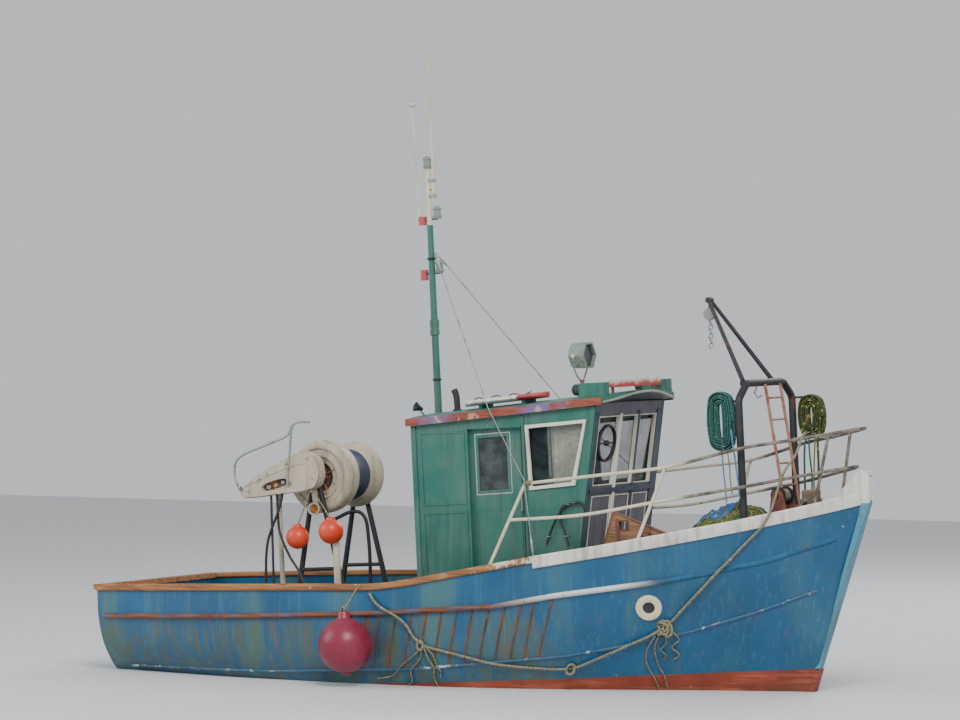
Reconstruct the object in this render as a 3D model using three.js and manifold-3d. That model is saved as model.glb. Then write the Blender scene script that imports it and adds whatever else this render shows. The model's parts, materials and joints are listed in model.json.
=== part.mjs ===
// A small wooden inshore fishing trawler: raised foredeck, green wheelhouse amidships, net drum aft.
// Millimetres in the boat's own level frame: +X to the bow, +Y to port, +Z up,
// origin amidships on the centreline at the water. The whole group is then turned by the trim.
import * as THREE from 'three';
import { mergeVertices } from 'three/addons/utils/BufferGeometryUtils.js';
import Module from 'manifold-3d';

const wasm = await Module();
wasm.setup();

// Driving dimensions
const trim = THREE.MathUtils.degToRad(3);
const gap = 0.3;
const paintLine = 45;
const planking = 60;
const deckPlank = 30;
const mainDeckTop = 680;
const foredeckDrop = 100;
const foredeckStep = 1300;
const transomInside = -4040;
const keelHalf = 55;
const keelBottom = { fore: -870, aft: -960 };
const railCap = { outside: 25, inside: 85, thick: 55, whiteFrom: 1150, apron: 70, lip: 12 };
const house = { aft: -500, half: 750, wall: 45, foot: 1366, top: 1651, aftHeight: 2655, foreHeight: 2795 };
const door = { aft: 120, fore: 800, low: 716, high: 2610, thick: 32 };
const mast = { x: -590, foot: 45, head: 28, top: 5290 };
const drum = { x: -1700, z: 2150, near: -600, far: 150, axle: 45, posts: [-672, 222] };
const propeller = { x: -3400, z: -560, radius: 270, shaft: 24, hub: 62 };
const rudder = { x: -3780, stock: 24, low: -880, high: -40 };
const gantry = { x: 3180, half: 605, pipe: 38, shoulder: 2775, top: 2930, shoulderIn: 200 };

// Hull stations from the transom to the stem. Columns: x, rabbet height, sheer height,
// half-breadth at the sheer, then the share of that breadth at 10, 25, 50 and 75 % of the height.
const stations = [
  [-4150, -90, 1068, 1120, 0.40, 0.70, 0.92, 1.00],
  [-3400, -250, 1060, 1270, 0.30, 0.64, 0.92, 1.00],
  [-2500, -440, 1046, 1360, 0.34, 0.68, 0.95, 1.01],
  [-1500, -570, 1028, 1395, 0.45, 0.76, 0.97, 1.01],
  [-600, -630, 1016, 1400, 0.50, 0.80, 0.975, 1.01],
  [300, -650, 1124, 1375, 0.48, 0.78, 0.96, 1.00],
  [1100, -650, 1236, 1310, 0.38, 0.68, 0.91, 0.985],
  [1900, -640, 1338, 1180, 0.25, 0.52, 0.79, 0.93],
  [2600, -625, 1437, 985, 0.16, 0.37, 0.65, 0.86],
  [3150, -560, 1522, 800, 0.11, 0.27, 0.52, 0.78],
  [3600, -60, 1603, 570, 0.13, 0.25, 0.47, 0.73],
  [3950, 930, 1676, 320, 0.30, 0.40, 0.58, 0.79],
  [4190, 1600, 1734, 95, 0.66, 0.72, 0.80, 0.90],
];
const sectionLevels = [0, 0.1, 0.25, 0.5, 0.75, 1];
const lengthSteps = 20;
const sectionSteps = 7;

// Outer edge of the stem, from its head down to the keel: x, z
const stemFace = [
  [4245, 2008], [4306, 1955], [4300, 1700], [3805, 400], [3615, -110], [3520, -360], [3350, -590],
  [3100, -770],
];

// Heights of the two rubbing strakes along the side: x, z
const upperStrake = [
  [-4060, 790], [-2200, 768], [-600, 765], [683, 802],
  [1324, 890], [2473, 1002], [3375, 1155], [3980, 1345],
];
const lowerStrake = [
  [-3900, 260], [-2000, 190], [-300, 190], [1359, 275],
  [1843, 344], [2554, 471], [3211, 645], [3760, 835],
];

const finish = (color, roughness, metalness) => ({ color, roughness, metalness });
const finishes = {
  hullBlue: finish(0x1c6a94, 0.55, 0),
  antifouling: finish(0x9a4630, 0.8, 0),
  stemBlue: finish(0x3f88a6, 0.6, 0),
  white: finish(0xe8e4da, 0.5, 0),
  bareWood: finish(0x8c6a4c, 0.85, 0),
  deckPaint: finish(0x6f756c, 0.85, 0),
  houseGreen: finish(0x2d7c6c, 0.5, 0),
  panelGrey: finish(0x5c5a66, 0.6, 0),
  glass: finish(0x1b2226, 0.1, 0),
  steelBlack: finish(0x20232a, 0.5, 0.4),
  galvanised: finish(0x9aa09c, 0.5, 0.6),
  rust: finish(0x7a4a30, 0.9, 0.2),
  beigePipe: finish(0xd8ccb0, 0.5, 0),
  drumCream: finish(0xcfcabb, 0.5, 0),
  orange: finish(0xe4502c, 0.45, 0),
  fenderRed: finish(0xa02c48, 0.45, 0),
  rope: finish(0x8f8a62, 0.95, 0),
  netGreen: finish(0x848034, 0.95, 0),
  bronze: finish(0x9a7440, 0.4, 0.8),
  engineGreen: finish(0x4a5c50, 0.6, 0.2),
};

const trawler = new THREE.Group();
trawler.rotation.y = -trim;

// Solids

function merged(geometry) {
  const plain = geometry.clone();
  plain.deleteAttribute('normal');
  plain.deleteAttribute('uv');
  return mergeVertices(plain, 1e-3);
}

function signedVolume(points, index) {
  const [a, b, c] = [new THREE.Vector3(), new THREE.Vector3(), new THREE.Vector3()];
  let sum = 0;
  for (let i = 0; i < index.length; i += 3) {
    a.fromArray(points, 3 * index[i]);
    b.fromArray(points, 3 * index[i + 1]);
    c.fromArray(points, 3 * index[i + 2]);
    sum += a.dot(b.cross(c));
  }
  return sum;
}

function solidOf(geometry) {
  const shape = merged(geometry);
  const points = new Float32Array(shape.attributes.position.array);
  const index = new Uint32Array(shape.index.array);
  if (signedVolume(points, index) < 0) {
    index.reverse();
  }
  return new wasm.Manifold(new wasm.Mesh({ numProp: 3, vertProperties: points, triVerts: index }));
}

function geometryOf(solid) {
  const mesh = solid.getMesh();
  const geometry = new THREE.BufferGeometry();
  geometry.setAttribute('position', new THREE.BufferAttribute(mesh.vertProperties, 3));
  geometry.setIndex(new THREE.BufferAttribute(mesh.triVerts, 1));
  geometry.computeVertexNormals();
  return geometry;
}

function join(solids) {
  return solids.reduce((whole, piece) => whole.add(piece));
}

function add(name, look, solid) {
  const mesh = new THREE.Mesh(geometryOf(solid), new THREE.MeshStandardMaterial(finishes[look]));
  mesh.name = name;
  trawler.add(mesh);
  return solid;
}

// A block between two corners
function block(low, high) {
  const size = low.map((value, axis) => high[axis] - value);
  const middle = low.map((value, axis) => (high[axis] + value) / 2);
  return solidOf(new THREE.BoxGeometry(...size).translate(...middle));
}

// A round bar between two points, its ends given by radii
function bar(from, to, radius, endRadius = radius, sides = 12) {
  const start = new THREE.Vector3(...from);
  const end = new THREE.Vector3(...to);
  const along = end.clone().sub(start);
  const geometry = new THREE.CylinderGeometry(endRadius, radius, along.length(), sides);
  const upward = new THREE.Vector3(0, 1, 0);
  const turn = new THREE.Quaternion().setFromUnitVectors(upward, along.clone().normalize());
  geometry.applyQuaternion(turn);
  const middle = start.add(end).multiplyScalar(0.5);
  return solidOf(geometry.translate(middle.x, middle.y, middle.z));
}

function roundShape(radius, sides) {
  const points = [];
  for (let i = 0; i < sides; i += 1) {
    const angle = (2 * Math.PI * i) / sides;
    points.push(new THREE.Vector2(radius * Math.cos(angle), radius * Math.sin(angle)));
  }
  return new THREE.Shape(points);
}

// A bent pipe through the given points
function pipe(points, radius, steps, sides = 8) {
  const path = new THREE.CatmullRomCurve3(points.map((point) => new THREE.Vector3(...point)));
  const options = { steps, bevelEnabled: false, extrudePath: path };
  return solidOf(new THREE.ExtrudeGeometry(roundShape(radius, sides), options));
}

// An outline in the x-z plane made thick from one y to another
function plateAcross(outline, yLow, yHigh, holes = []) {
  const toVector = ([x, z]) => new THREE.Vector2(x, z);
  const shape = new THREE.Shape(outline.map(toVector));
  shape.holes = holes.map((hole) => new THREE.Path(hole.map(toVector)));
  const geometry = new THREE.ExtrudeGeometry(shape, { depth: yHigh - yLow, bevelEnabled: false });
  geometry.rotateX(Math.PI / 2).translate(0, yHigh, 0);
  return solidOf(geometry);
}

// An outline in the y-z plane made thick from one x to another
function plateAlong(outline, xLow, xHigh) {
  const shape = new THREE.Shape(outline.map(([y, z]) => new THREE.Vector2(y, z)));
  const geometry = new THREE.ExtrudeGeometry(shape, { depth: xHigh - xLow, bevelEnabled: false });
  geometry.rotateX(Math.PI / 2).rotateZ(Math.PI / 2).translate(xLow, 0, 0);
  return solidOf(geometry);
}

// A turned shape: profile of radius and distance along the axis, laid along +Y at a centre
function turnedAcross(profile, centre, sides = 32) {
  const points = profile.map(([radius, along]) => new THREE.Vector2(radius, along));
  const geometry = new THREE.LatheGeometry(points, sides);
  return solidOf(geometry.translate(...centre));
}

// A turned shape that stands upright
function turnedUpright(profile, centre, sides = 24) {
  const points = profile.map(([radius, along]) => new THREE.Vector2(radius, along));
  const geometry = new THREE.LatheGeometry(points, sides).rotateX(Math.PI / 2);
  return solidOf(geometry.translate(...centre));
}

// A closed body through like rings of points
function loft(rings) {
  const count = rings[0].length;
  const points = rings.flat();
  const index = [];
  for (let r = 0; r + 1 < rings.length; r += 1) {
    for (let i = 0; i < count; i += 1) {
      const next = (i + 1) % count;
      const [a, b] = [r * count + i, r * count + next];
      const [c, d] = [a + count, b + count];
      index.push(a, b, d, a, d, c);
    }
  }
  [[0, true], [rings.length - 1, false]].forEach(([ring, first]) => {
    const middle = [0, 1, 2].map((axis) => rings[ring].reduce((sum, point) => sum + point[axis], 0) / count);
    const hub = points.push(middle) - 1;
    for (let i = 0; i < count; i += 1) {
      const [a, b] = [ring * count + i, ring * count + ((i + 1) % count)];
      index.push(...(first ? [hub, b, a] : [hub, a, b]));
    }
  });
  const geometry = new THREE.BufferGeometry();
  geometry.setAttribute('position', new THREE.Float32BufferAttribute(points.flat(), 3));
  geometry.setIndex(index);
  return solidOf(geometry);
}

// A foot that reaches a little into what carries it is cut to stand on it
function seated(solid, carrier) {
  return solid.subtract(carrier.translate([0, 0, gap]));
}

function mirrored(solid) {
  return solid.mirror([0, 1, 0]);
}

function bothSides(solid) {
  return solid.add(mirrored(solid));
}

// Hull surface

const levelCurves = sectionLevels.map((level, row) => {
  const points = stations.map(([x, low, sheer, breadth, ...shares]) => {
    const widths = [keelHalf, ...shares.map((share) => share * breadth), breadth];
    return new THREE.Vector3(x, widths[row], low + level * (sheer - low));
  });
  return new THREE.CatmullRomCurve3(points, false, 'catmullrom', 0.5);
});

function sectionCurve(share) {
  return new THREE.CatmullRomCurve3(levelCurves.map((curve) => curve.getPoint(share)));
}

function halve(low, high, isBelow) {
  let [below, above] = [low, high];
  for (let turn = 0; turn < 30; turn += 1) {
    const middle = (below + above) / 2;
    if (isBelow(middle)) {
      below = middle;
    } else {
      above = middle;
    }
  }
  return (below + above) / 2;
}

function sectionAt(x) {
  const share = halve(0, 1, (value) => levelCurves[0].getPoint(value).x < x);
  return sectionCurve(share);
}

function sheerAt(x) {
  return sectionAt(x).getPoint(1).z;
}

function breadthAt(x, z) {
  const section = sectionAt(x);
  const share = halve(0, 1, (value) => section.getPoint(value).z < z);
  return section.getPoint(share).y;
}

function heightOn(line, x) {
  const last = line.length - 2;
  const found = line.findIndex((point, place) => place > 0 && x <= point[0]) - 1;
  const place = found < 0 ? last : found;
  const [[x0, z0], [x1, z1]] = [line[place], line[place + 1]];
  return z0 + ((z1 - z0) * (x - x0)) / (x1 - x0);
}

function stepsBetween(low, high, count) {
  return Array.from({ length: count + 1 }, (unused, i) => low + ((high - low) * i) / count);
}

function hullBody(grow) {
  const rings = stepsBetween(0, 1, lengthSteps).map((share) => {
    const section = sectionCurve(share);
    const half = stepsBetween(0, 1, sectionSteps).map((value) => section.getPoint(value));
    const reach = grow * Math.sign(share === 0 ? -1 : Math.floor(share));
    const rise = { 0: -grow, [sectionSteps]: grow };
    const side = half.map(({ x, y, z }, place) => [x + reach, y + grow, z + (rise[place] ?? 0)]);
    const other = side.map(([x, y, z]) => [x, -y, z]).reverse();
    return [...other, ...side];
  });
  return loft(rings);
}

const farOut = 9000;

// The space inside the bulwarks above a floor height, and a little below it
function wellBody(xLow, xHigh, count, floorAt) {
  const rings = stepsBetween(xLow, xHigh, count).map((x) => {
    const [floor, sheer] = [floorAt(x), sheerAt(x)];
    const low = breadthAt(x, floor) - planking;
    const high = breadthAt(x, sheer) - planking;
    const half = [[low, floor - 20], [low, floor], [high, sheer], [high, sheer + 300]];
    return [...half.map(([y, z]) => [x, -y, z]).reverse(), ...half.map(([y, z]) => [x, y, z])];
  });
  return loft(rings);
}

function deckBody(xLow, xHigh, count, floorAt, thick) {
  const rings = stepsBetween(xLow, xHigh, count).map((x) => {
    const floor = floorAt(x) + gap;
    const [half, top] = [breadthAt(x, floor) - planking - 2, floor + thick - gap];
    return [[x, -half, floor], [x, half, floor], [x, half, top], [x, -half, top]];
  });
  return loft(rings);
}

const foredeckFloor = (x) => sheerAt(x) - foredeckDrop - deckPlank;
const foredeckTop = (x) => foredeckFloor(x) + deckPlank;
const mainFloor = () => mainDeckTop - deckPlank;
const foredeckNose = 3960;

// Everything above the level on which the decks lie, with its step up to the foredeck
function aboveFloors(grow) {
  const ring = (x, floor) =>
    [[x, -farOut, floor], [x, farOut, floor], [x, farOut, farOut], [x, -farOut, farOut]];
  const step = foredeckStep + grow;
  const aft = [-farOut, step].map((x) => ring(x, mainFloor() - grow));
  const fore = stepsBetween(step, foredeckNose, 8).map((x) => ring(x, foredeckFloor(x) - grow));
  const nose = ring(farOut, foredeckFloor(foredeckNose) - grow);
  return loft([...aft, ...fore, nose]);
}

const engineBay = { low: [-350, -420, -380], high: [900, 420, mainDeckTop] };
const belowPaint = block([-farOut, -farOut, -farOut], [farOut, farOut, paintLine - gap]);
const abovePaint = block([-farOut, -farOut, paintLine], [farOut, farOut, farOut]);

const running = 0.6;
const tube = propeller.shaft + running;
const shaftBore = bar([-3000, 0, propeller.z], [-3500, 0, propeller.z], tube, tube, 24);
const boreRadius = rudder.stock + running;
const stockBore = bar([rudder.x, 0, -400], [rudder.x, 0, 300], boreRadius, boreRadius, 24);

function makeHull() {
  const wells = wellBody(transomInside, foredeckStep, 12, mainFloor)
    .add(wellBody(foredeckStep - 1, foredeckNose, 8, foredeckFloor));
  const body = hullBody(0)
    .add(bothSides(strakeBody(lowerStrake, 20, 36)))
    .add(outletRings())
    .subtract(block(engineBay.low, engineBay.high))
    .subtract(stockBore);
  add('bulwarks', 'hullBlue', body.intersect(aboveFloors(-gap)).subtract(wells));
  add('hull_topsides', 'hullBlue', body.intersect(abovePaint).subtract(aboveFloors(0)));
  add('hull_bottom', 'antifouling', body.intersect(belowPaint));
}

// Keel, deadwood and stem are one run of timber, parted at the paint line
function makeBackbone() {
  const heel = propeller.x - 620;
  const outline = [
    ...stemFace,
    [2700, keelBottom.fore],
    [heel, keelBottom.aft],
    [heel, rudder.low - 10],
    [propeller.x + 60, rudder.low - 10],
    [propeller.x + 60, propeller.z - 90],
    [propeller.x + 30, propeller.z],
    [propeller.x + 60, propeller.z + 90],
    [propeller.x + 60, -150],
    [-2500, 0],
    [2500, 0],
    [4046, 1600],
    [4046, 1721],
    [3925, 1721],
    [4215, 2005],
  ];
  const pintleHole = bar([rudder.x, 0, rudder.low - 60], [rudder.x, 0, rudder.low], 17, 17, 24);
  const timber = seated(plateAcross(outline, -keelHalf, keelHalf), whiteCap)
    .subtract(whiteCap.translate([gap, 0, 0]))
    .subtract(hullBody(gap))
    .subtract(shaftBore)
    .subtract(pintleHole);
  add('keel', 'antifouling', timber.intersect(belowPaint));
  add('stem', 'stemBlue', timber.intersect(abovePaint));
}

// One side of the rail cap between two places along the sheer, reaching down over the planking
function capStrip(xLow, xHigh, count, reach) {
  const rings = stepsBetween(xLow, xHigh, count).map((x) => {
    const sheer = sheerAt(x);
    const [low, high] = [sheer - reach, sheer + railCap.thick];
    const breadth = breadthAt(x, sheer - 1);
    const [outer, inner] = [breadth + railCap.outside, Math.max(breadth - railCap.inside, -5)];
    const lowOuter = breadthAt(x, low) + railCap.outside;
    return [[x, inner, low], [x, lowOuter, low], [x, outer, high], [x, inner, high]];
  });
  return bothSides(loft(rings));
}

function whiteCapBody() {
  const room = keelHalf + gap;
  const stemRoom = block([4045, -room, 1500], [4400, room, 2100]);
  const knee = sheerAt(4000);
  const breasthook = block([3900, -270, knee - 10], [4043, 270, knee + railCap.thick]);
  const strip = capStrip(railCap.whiteFrom, 4230, 10, railCap.apron).add(breasthook);
  return strip.subtract(stemRoom).subtract(hullBody(gap));
}

function bareCapBody() {
  const aftEnd = stations[0][0];
  const sheer = sheerAt(aftEnd);
  const half = breadthAt(aftEnd, sheer - 1) + railCap.outside;
  const across = block([aftEnd - 30, -half, sheer - railCap.lip], [aftEnd + 130, half, sheer + railCap.thick]);
  return capStrip(aftEnd, railCap.whiteFrom - gap, 11, railCap.lip).add(across).subtract(hullBody(gap));
}

const whiteCap = whiteCapBody();
const bareCap = bareCapBody();

function makeRailCap() {
  add('rail_cap_white', 'white', whiteCap);
  add('rail_cap_bare', 'bareWood', bareCap);
}

// A timber strip fastened along both sides, cut to lie on the planking
function strakeBody(line, proud, deep) {
  const rings = stepsBetween(line[0][0], line.at(-1)[0], 13).map((x) => {
    const z = heightOn(line, x);
    const y = breadthAt(x, z);
    const half = deep / 2;
    const [face, root] = [0.6 * half, 25];
    const [inside, outside] = [y - root, y + proud];
    return [[x, inside, z - half], [x, outside, z - face], [x, outside, z + face], [x, inside, z + half]];
  });
  return loft(rings);
}

function makeStrakes() {
  const port = strakeBody(upperStrake, 42, 60);
  add('rubbing_strake_port', 'bareWood', port.subtract(hullBody(gap)));
  add('rubbing_strake_starboard', 'bareWood', mirrored(port).subtract(hullBody(gap)));
}

const mainDeck = deckBody(transomInside + 2, foredeckStep - 2, 12, mainFloor, deckPlank);
const foredeck = deckBody(foredeckStep + 2, foredeckNose - 2, 8, foredeckFloor, deckPlank);

function makeDecks() {
  add('main_deck', 'deckPaint', mainDeck);
  add('foredeck', 'deckPaint', foredeck);
}

function makeEngine() {
  const low = engineBay.low.map((value, axis) => value + (axis === 2 ? gap : 60));
  add('engine', 'engineGreen', block(low, [840, 340, 330]));
}

// Outlet collar on each side of the hull: a flat ring round a blind mouth
function outletRings() {
  const place = { x: 2240, z: 737, outer: 136, inner: 59, thick: 20 };
  const half = breadthAt(place.x, place.z);
  const profile = [[place.inner, -60], [place.outer, -60], [place.outer, place.thick - 8],
    [place.outer - 8, place.thick], [place.inner, place.thick], [place.inner, -60]];
  const flare = Math.atan2(breadthAt(place.x, place.z + 200) - breadthAt(place.x, place.z - 200), 400);
  const taper = Math.atan2(breadthAt(place.x - 200, place.z) - breadthAt(place.x + 200, place.z), 400);
  const points = profile.map(([radius, along]) => new THREE.Vector2(radius, along));
  const ring = new THREE.LatheGeometry(points, 18).rotateX(-flare).rotateZ(-taper);
  return bothSides(solidOf(ring.translate(place.x, half, place.z)));
}

// Wheelhouse

const frontSlope = (house.top - house.foot) / (house.foreHeight - foredeckTop(house.foot));
const frontAt = (z) => house.foot + frontSlope * (z - foredeckTop(house.foot));
const eavesRise = (house.foreHeight - house.aftHeight) / (house.top - house.aft);
const eavesAt = (x) => house.aftHeight + eavesRise * (x - house.aft);

// Side windows and door light: x, z corners
const sideWindow = [[850, 1945], [1375, 1978], [1535, 2640], [828, 2605]];
const doorLight = [[205, 1910], [620, 1920], [620, 2545], [205, 2530]];

function inset(outline, amount) {
  const middleX = outline.reduce((sum, point) => sum + point[0], 0) / outline.length;
  const middleZ = outline.reduce((sum, point) => sum + point[1], 0) / outline.length;
  return outline.map(([x, z]) => [x - Math.sign(x - middleX) * amount, z - Math.sign(z - middleZ) * amount]);
}

function sideOutline() {
  const deck = mainDeckTop + gap;
  const step = foredeckTop(house.foot) + gap;
  const top = eavesAt(house.top);
  return [[house.aft, deck], [foredeckStep - 10, deck], [foredeckStep - 10, step + 12],
    [frontAt(step + 12), step + 12], [frontAt(top), top], [house.aft, eavesAt(house.aft)]];
}

function makeHouseSides() {
  const wall = [-house.half, -house.half + house.wall];
  const [aft, fore, low, high] = [door.aft + 30, door.fore - 30, door.low + 24, door.high - 25];
  const doorway = [[aft, low], [fore, low], [fore, high], [aft, high]];
  const solidSide = plateAcross(sideOutline(), ...wall, [sideWindow]);
  const openSide = plateAcross(sideOutline(), ...wall, [sideWindow, doorway]);
  const frame = mirrored(frameAround(sideWindow, 42, house.half - 5, house.half + 16));
  add('house_side_starboard', 'houseGreen', openSide.add(frame));
  add('house_side_port', 'houseGreen', mirrored(solidSide.add(frame)));
}

// Front windows: y from, y to, for the upper lights and the panels below them
const frontBays = [[-650, -205], [-165, 195], [235, 600]];
const frontLights = { low: 1960, high: 2660 };
const frontPanels = { low: 1330, high: 1880 };

function makeHouseFront() {
  const half = house.half - house.wall - gap;
  const step = foredeckTop(house.foot) + 12;
  const top = eavesAt(house.top) - 5;
  const outline = [[frontAt(step), step], [frontAt(step) - house.wall, step],
    [frontAt(top) - house.wall, top], [frontAt(top), top]];
  let wall = plateAcross(outline, -half, half);
  frontBays.forEach(([from, to]) => {
    wall = wall.subtract(block([1300, from, frontLights.low], [1800, to, frontLights.high]));
    const low = plateAcross([[frontAt(frontPanels.low) - 12, frontPanels.low], [1900, frontPanels.low],
      [1900, frontPanels.high], [frontAt(frontPanels.high) - 12, frontPanels.high]], from, to);
    wall = wall.subtract(low);
  });
  const mullions = [[-205, -165], [195, 235]].map(([from, to]) => {
    const [low, high] = [frontPanels.low, frontLights.high];
    const [inside, outside] = [-5, 14];
    return plateAcross([[frontAt(low) + inside, low], [frontAt(high) + inside, high],
      [frontAt(high) + outside, high], [frontAt(low) + outside, low]], from, to);
  });
  add('house_front', 'panelGrey', join([wall, ...mullions]));
}

const backLight = { half: 330, low: 1950, high: 2450 };
const paneThick = 6;

function makeHouseBack() {
  const half = house.half - house.wall - gap;
  const fore = house.aft + house.wall;
  const wall = block([house.aft, -half, mainDeckTop + gap], [fore, half, house.aftHeight - 5]);
  const { half: edge, low, high } = backLight;
  const light = block([house.aft - 10, -edge, low], [house.aft + 60, edge, high]);
  add('house_back', 'houseGreen', wall.subtract(light));
}

function makeDoor() {
  const outside = -house.half + house.wall + 5;
  const outline = [[door.aft, door.low], [door.fore, door.low], [door.fore, door.high], [door.aft, door.high]];
  const leaf = plateAcross(outline, outside, outside + door.thick, [doorLight]);
  const grip = bar([740, outside - 25, 1720], [740, outside - 25, 1880], 10, 10, 8);
  const lugs = [1730, 1870].map((z) => bar([740, outside - 27, z], [740, outside + 2, z], 7, 7, 6));
  add('door', 'houseGreen', join([leaf, grip, ...lugs]));
  const pane = plateAcross(inset(doorLight, gap), outside + 10, outside + 10 + paneThick);
  add('door_glass', 'glass', pane);
}

// Runners that carry the sliding door inside the starboard wall
function makeDoorRunners() {
  const inner = -house.half + house.wall + gap;
  const [from, to] = [house.aft + house.wall + 1, 1080];
  const shelf = (z) => block([from, inner, z], [to, inner + 60, z + 27 - gap]);
  const lip = (z) => block([from, inner + door.thick + 12, z], [to, inner + 60, z + 60]);
  const low = shelf(door.low - 27).add(lip(door.low - 27));
  const high = shelf(door.high + 2).add(lip(door.high - 32));
  const post = block([to - 26, inner, door.low - 27], [to, inner + 60, door.high + 28]);
  add('door_runners', 'galvanised', join([low, high, post]));
}

function makeGlass() {
  const pane = plateAcross(inset(sideWindow, gap), house.half - 24 - paneThick, house.half - 24);
  add('side_glass_port', 'glass', pane);
  add('side_glass_starboard', 'glass', mirrored(pane));
  const [low, high] = [frontLights.low - 30, frontLights.high + 20];
  const back = house.wall + gap;
  const sheet = [[frontAt(low) - back - paneThick, low], [frontAt(high) - back - paneThick, high],
    [frontAt(high) - back, high], [frontAt(low) - back, low]];
  add('front_glass', 'glass', plateAcross(sheet, frontBays[0][0] - 25, frontBays[2][1] + 25));
  const [edge, sill, head] = [backLight.half - gap, backLight.low + gap, backLight.high - gap];
  add('back_glass', 'glass', block([house.aft + 20, -edge, sill], [house.aft + 20 + paneThick, edge, head]));
}

function frameAround(outline, width, yLow, yHigh) {
  return plateAcross(inset(outline, -width), yLow, yHigh, [outline]);
}

const roof = { aft: house.aft - 25, fore: 1860, bow: 110, half: house.half + 35, edge: 62, camber: 45 };
const roofTopAt = (x, y) => eavesAt(x) + roof.edge + roof.camber * (1 - (y / roof.half) ** 2);

// Cambered roof with a bowed visor over the front windows
function roofBody() {
  const across = stepsBetween(-1, 1, 8);
  const rings = stepsBetween(roof.aft, roof.fore, 8).map((x) => {
    const shortening = (share) => (x === roof.fore ? roof.bow * share * share : 0);
    const top = across.map((share) => {
      const place = x - shortening(share);
      return [place, share * roof.half, roofTopAt(place, share * roof.half)];
    });
    const below = across.map((share) => {
      const place = x - shortening(share);
      return [place, share * roof.half, eavesAt(place) + gap];
    }).reverse();
    return [...top, ...below];
  });
  return loft(rings);
}

function makeRoof() {
  add('house_roof', 'houseGreen', join([roofBody(), horn(), lampBox(-1), lampBox(1)]));
}

function horn() {
  const [x, y] = [-430, -600];
  const profile = [[0, 0], [28, 0], [16, 35], [16, 60], [42, 75], [52, 105], [44, 140], [0, 150]];
  return turnedUpright(profile, [x, y, roofTopAt(x, y) - 12], 12);
}

// A sidelight screen on the roof's edge with its lamp
function lampBox(hand) {
  const screen = { aft: 1460, fore: 1745, y: hand * 690, half: 62, rise: 130 };
  const foot = roofTopAt(screen.aft, Math.abs(screen.y) + screen.half) - 5;
  const top = roofTopAt(screen.fore, screen.y) + screen.rise;
  const box = block([screen.aft, screen.y - screen.half, foot], [screen.fore, screen.y + screen.half, top]);
  const lamp = top - 65;
  return box.add(bar([screen.aft - 95, screen.y, lamp], [screen.aft + 5, screen.y, lamp], 55, 62, 12));
}

// Band of timber along the roof's edge, at both sides and across the back
function makeRoofFascia() {
  const band = { fore: 1735, below: 14, above: 58, thick: 15 };
  const outside = roof.half + band.thick;
  const [from, to] = [roof.aft, band.fore];
  const [low, high] = [eavesAt(from) - band.below, eavesAt(from) + band.above];
  const aft = block([from - band.thick, -outside, low], [from - gap, outside, high]);
  const eaves = eavesAt(to);
  const outline = [[from - 5, low], [to, eaves - band.below], [to, eaves + band.above], [from - 5, high]];
  const side = plateAcross(outline, roof.half + gap, outside);
  add('roof_fascia', 'rust', bothSides(side).add(aft));
}

function makeRoofFittings() {
  const carrier = roofBody();
  const [x, y] = [-225, -250];
  const foot = roofTopAt(x, y) - 4;
  const stack = pipe([[x, y, foot], [x - 2, y, foot + 120], [x - 25, y, foot + 215]], 34, 6, 12);
  add('exhaust_stack', 'steelBlack', seated(stack, carrier));
  const board = { x: 1690, half: 600, low: 68, high: 168, thick: 28, feet: 450 };
  const base = roofTopAt(board.x, board.half);
  const [aft, fore] = [board.x - board.thick / 2, board.x + board.thick / 2];
  const plank = block([aft, -board.half, base + board.low], [fore, board.half, base + board.high]);
  const feet = [-board.feet, board.feet]
    .map((at) => [[aft + 4, at - 20, roofTopAt(board.x, at) - 6], [fore - 4, at + 20, base + board.low + 12]])
    .map(([low, high]) => block(low, high));
  add('name_board', 'white', seated(join([plank, ...feet]), carrier));
}

function makeRescueBoard() {
  const middle = { x: 460, y: -430, half: 480 };
  const foot = roofTopAt(middle.x, middle.y);
  const rings = stepsBetween(-1, 1, 10).map((share) => {
    const x = middle.x + share * middle.half;
    const wide = 190 * Math.sqrt(Math.max(1 - share ** 4, 0.02));
    const rise = eavesAt(x) - eavesAt(middle.x);
    const low = foot + rise + 30;
    return [[x, middle.y - wide, low + 28], [x, middle.y - 0.6 * wide, low], [x, middle.y + 0.6 * wide, low],
      [x, middle.y + wide, low + 28], [x, middle.y + 0.6 * wide, low + 62],
      [x, middle.y - 0.6 * wide, low + 62]];
  });
  const chocks = [-250, 250].map((away) => {
    const x = middle.x + away;
    const top = foot + eavesAt(x) - eavesAt(middle.x) + 30;
    return block([x - 20, middle.y - 120, roofTopAt(x, middle.y - 120) - 4], [x + 20, middle.y + 120, top]);
  });
  add('rescue_board', 'white', seated(join([loft(rings), ...chocks]), roofBody()));
}

function makeFloodlight() {
  const foot = [1330, -420, roofTopAt(1330, -420) - 5];
  const [x, y, z] = foot;
  const head = { x: 1320, z: z + 420, half: 150 };
  const hexagon = [0, 1, 2, 3, 4, 5].map((corner) => {
    const angle = (Math.PI / 3) * corner;
    return [y + head.half * Math.cos(angle), head.z + head.half * Math.sin(angle)];
  });
  const mouth = hexagon.map(([a, b]) => [y + 0.88 * (a - y), head.z + 0.88 * (b - head.z)]);
  const shell = plateAlong(hexagon, head.x - 90, head.x + 110)
    .subtract(plateAlong(mouth, head.x + 60, head.x + 120));
  const side = head.half + 4;
  const arm = (hand) => [[head.x, y + hand * side, head.z], [head.x, y + hand * side, head.z - 110],
    [head.x, y + hand * 70, head.z - 215]];
  const yoke = pipe([...arm(-1), [x, y, z + 150], ...arm(1).reverse()], 9, 14, 6);
  const post = bar([x, y, z], [x, y, z + 160], 22, 16, 8);
  add('floodlight', 'galvanised', seated(join([shell, yoke, post]), roofBody()));
}

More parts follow.
